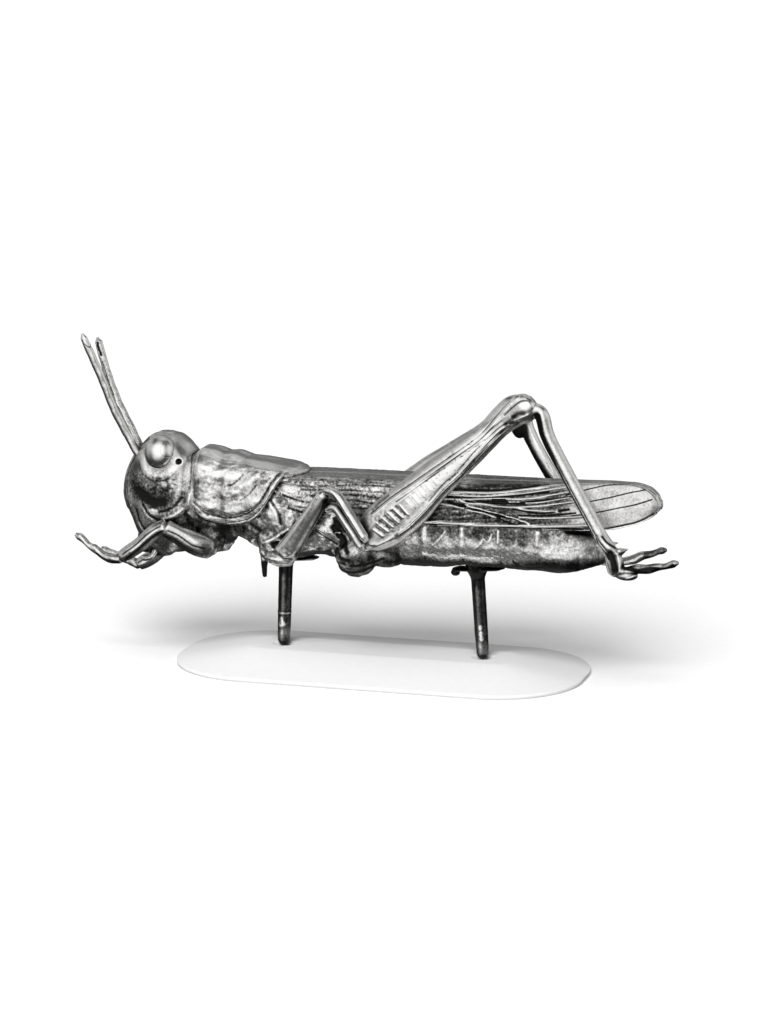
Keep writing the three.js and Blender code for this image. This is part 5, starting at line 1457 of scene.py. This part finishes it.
def cast_metal(name, roughness=(0.22, 0.46)):
    """Antique silver: bright and smooth where it is rubbed, dark and rough in its pits and hollows. Its tone
    also carries painted light and shade from the marks and from an occlusion node.
    """
    material, n, place = new_material(name)
    tarnish_and_painted_light = n.add("ShaderNodeAttribute", attribute_name="tarnish_and_painted_light").outputs["Fac"]
    grain = n.add("ShaderNodeAttribute", attribute_name="grain").outputs["Fac"]
    fine = n.add("ShaderNodeTexNoise", {"Vector": place, "Scale": 3200.0, "Detail": 3.0, "Roughness": 0.65})
    broad = n.add("ShaderNodeTexNoise", {"Vector": place, "Scale": 700.0, "Detail": 4.0, "Roughness": 0.6})
    # Ambient occlusion darkens crevices and the places between parts: partly their patina, partly painted
    # shade.
    crevice_patina_and_shade = n.add("ShaderNodeAmbientOcclusion", {"Distance": 0.0018}, samples=6).outputs["AO"]
    grainy = n.math("MULTIPLY", n.math("SUBTRACT", fine.outputs["Fac"], 0.5), grain)
    cloud = n.math("SUBTRACT", broad.outputs["Fac"], 0.5)
    closed = n.math("SUBTRACT", 1.0, crevice_patina_and_shade)
    level = n.weighted((tarnish_and_painted_light, 1.0), (grainy, 1.7), (cloud, 0.4), (closed, 0.8), 0.22)
    colour = n.ramp(level, METAL_TONES)
    rough_level = n.map(level, 0.1, 0.8, *roughness)
    height = n.weighted((grainy, 1.0), (cloud, 0.4))
    bump = n.add("ShaderNodeBump", {"Height": height, "Strength": 0.6, "Distance": 0.00008})
    shader = n.add("ShaderNodeBsdfPrincipled", {"Base Color": colour, "Roughness": rough_level,
                                                "Metallic": 1.0, "Normal": bump.outputs["Normal"]})
    n.add("ShaderNodeOutputMaterial", {"Surface": shader.outputs["BSDF"]})
    return material


def pale_material(name, colour, roughness):
    """A matt pale paint with a faint grain."""
    material, n, place = new_material(name)
    grain = n.add("ShaderNodeTexNoise", {"Vector": place, "Scale": 900.0, "Detail": 4.0})
    bump = n.add("ShaderNodeBump", {"Height": grain.outputs["Fac"], "Strength": 0.1, "Distance": 0.00005})
    tint = n.ramp(grain.outputs["Fac"], [(0.3, [c * 0.97 for c in colour]), (0.7, colour)])
    shader = n.add("ShaderNodeBsdfPrincipled", {"Base Color": tint, "Roughness": roughness,
                                                "Normal": bump.outputs["Normal"]})
    n.add("ShaderNodeOutputMaterial", {"Surface": shader.outputs["BSDF"]})
    return material


# ---- studio ----
# Angles are in degrees, and the camera's target and distance are in metres.
CAMERA_AZIMUTH = 16
CAMERA_ELEVATION = 12
CAMERA_TARGET = (0, 0, 0.0235)
CAMERA_DISTANCE = 0.55
CAMERA_LENS = 130.65
# What the metal mirrors: its direction, how wide the bright patch and its soft edge are, and its strength.
SOFTBOXES = [
    {"azimuth": -6, "elevation": 15, "inner": 5, "outer": 60, "strength": 1.4},
    {"azimuth": 80, "elevation": 12, "inner": 5, "outer": 42, "strength": 0.85},
    {"azimuth": -84, "elevation": 12, "inner": 5, "outer": 40, "strength": 0.65},
    {"azimuth": 135, "elevation": 20, "inner": 5, "outer": 34, "strength": 0.5},
    {"azimuth": -130, "elevation": 20, "inner": 5, "outer": 34, "strength": 0.5},
    {"azimuth": 180, "elevation": 60, "inner": 5, "outer": 44, "strength": 0.5},
    {"azimuth": 186, "elevation": 12, "inner": 5, "outer": 48, "strength": 0.13},
    {"azimuth": 0, "elevation": 88, "inner": 5, "outer": 36, "strength": 0.3},
]
SURROUND = 0.05
WHITE_BACKGROUND = 1.1
# The broad lights from above and in front that draw the soft shadow: tilt towards the front, and strength.
SHADOW_LIGHTS = [(12, 1.1), (45, 4.3)]
SHADOW_LIGHT_ANGLE = 42
FLOOR_FILL = 0.04
FLOOR_REACH = 4.0
FLOOR_WHITE = (0.82, 0.82, 0.82)
# The stand is greyer than the floor: painted shadow for where the plate lies in the soft shadow under the
# body.
STAND_PAINTED_SHADOW_GREY = (0.64, 0.64, 0.64)
MATT = 0.9


def direction(azimuth, elevation):
    """Unit vector towards a place. Azimuth 0 is in front, along -Y, and 90 is along +X, both in degrees."""
    a, e = math.radians(azimuth), math.radians(elevation)
    return (math.sin(a) * math.cos(e), -math.cos(a) * math.cos(e), math.sin(e))


def studio_world():
    """Softboxes for mirrored rays, a faint fill for the rest, and white behind the object."""
    world = bpy.data.worlds.new("studio")
    bpy.context.scene.world = world
    world.use_nodes = True
    world.cycles.sampling_method = "NONE"
    n = Nodes(world.node_tree)
    way = n.add("ShaderNodeTexCoord").outputs["Generated"]
    total = SURROUND
    for box in SOFTBOXES:
        axis = direction(box["azimuth"], box["elevation"])
        facing = n.add("ShaderNodeVectorMath", {0: way, 1: axis}, operation="DOT_PRODUCT").outputs["Value"]
        inner, outer = (math.cos(math.radians(box[edge])) for edge in ("inner", "outer"))
        glow = n.map(facing, outer, inner, 0.0, box["strength"], kind="SMOOTHSTEP")
        total = n.math("ADD", glow, total)
    path = n.add("ShaderNodeLightPath")
    mirrored = n.add("ShaderNodeBackground", {"Strength": total})
    soft = n.add("ShaderNodeBackground", {"Strength": FLOOR_FILL})
    white = n.add("ShaderNodeBackground", {"Strength": WHITE_BACKGROUND})
    lit = n.add("ShaderNodeMixShader", {0: path.outputs["Is Glossy Ray"], 1: soft.outputs[0],
                                        2: mirrored.outputs[0]})
    seen = n.add("ShaderNodeMixShader", {0: path.outputs["Is Camera Ray"], 1: lit.outputs[0],
                                         2: white.outputs[0]})
    n.add("ShaderNodeOutputWorld", {"Surface": seen.outputs[0]})


def shadow_lights():
    """Suns that light only what isn't mirrored."""
    for tilt, strength in SHADOW_LIGHTS:
        light = bpy.data.lights.new("shadow", "SUN")
        light.energy = strength
        light.angle = math.radians(SHADOW_LIGHT_ANGLE)
        lamp = add_object("shadow", light)
        lamp.rotation_euler = (math.radians(tilt), 0, 0)
        lamp.visible_glossy = False


def pale_floor():
    corners = [(x * FLOOR_REACH, y * FLOOR_REACH, 0) for x, y in ((-1, -1), (1, -1), (1, 1), (-1, 1))]
    mesh = bpy.data.meshes.new("floor")
    mesh.from_pydata(corners, [], [(0, 1, 2, 3)])
    mesh.materials.append(pale_material("floor", FLOOR_WHITE, MATT))
    floor = add_object("floor", mesh)
    floor.visible_glossy = False


def photo_camera():
    data = bpy.data.cameras.new("camera")
    data.lens = CAMERA_LENS
    data.clip_start = 0.01
    data.clip_end = 20
    camera = add_object("camera", data)
    back = Vector(direction(CAMERA_AZIMUTH, CAMERA_ELEVATION))
    camera.location = Vector(CAMERA_TARGET) + back * CAMERA_DISTANCE
    camera.rotation_mode = "QUATERNION"
    camera.rotation_quaternion = (-back).to_track_quat("-Z", "Y")
    bpy.context.scene.camera = camera


# ---- assembly ----
photo_camera()
studio_world()
shadow_lights()
pale_floor()
bpy.context.scene.view_settings.view_transform = "Standard"

silver = cast_metal("cast_silver")
dark_metal = cast_metal("pin_metal", (0.14, 0.26))
stand_painted_shadow_grey = pale_material("stand_painted_shadow_grey", STAND_PAINTED_SHADOW_GREY, MATT)

build_piece("body_skin", body_skin(), silver, ["head", "pronotum", "thorax", "abdomen"])
for hand, side in SIDES.items():
    build_piece(f"eye_dome_{hand}", eye_dome(hand), silver, [f"eye_{hand}"])
    build_piece(f"antenna_shaft_{hand}", antenna_shaft(hand), silver, [f"antenna_{hand}"])
    build_piece(f"wing_cover_{hand}", wing_cover(side), silver, [f"wing_{hand}"])
    for pair in LEGS:
        nodes = [f"{part}_{pair}_{hand}" for part in LEGS[pair][hand]]
        build_piece(f"leg_{pair}_{hand}", leg(pair, hand), silver, nodes)
for name in PINS:
    build_piece(f"pin_shaft_{name}", pin(name), dark_metal, [f"pin_{name}"])
build_piece("base_plate", base_plate(), stand_painted_shadow_grey, ["stand_base"])
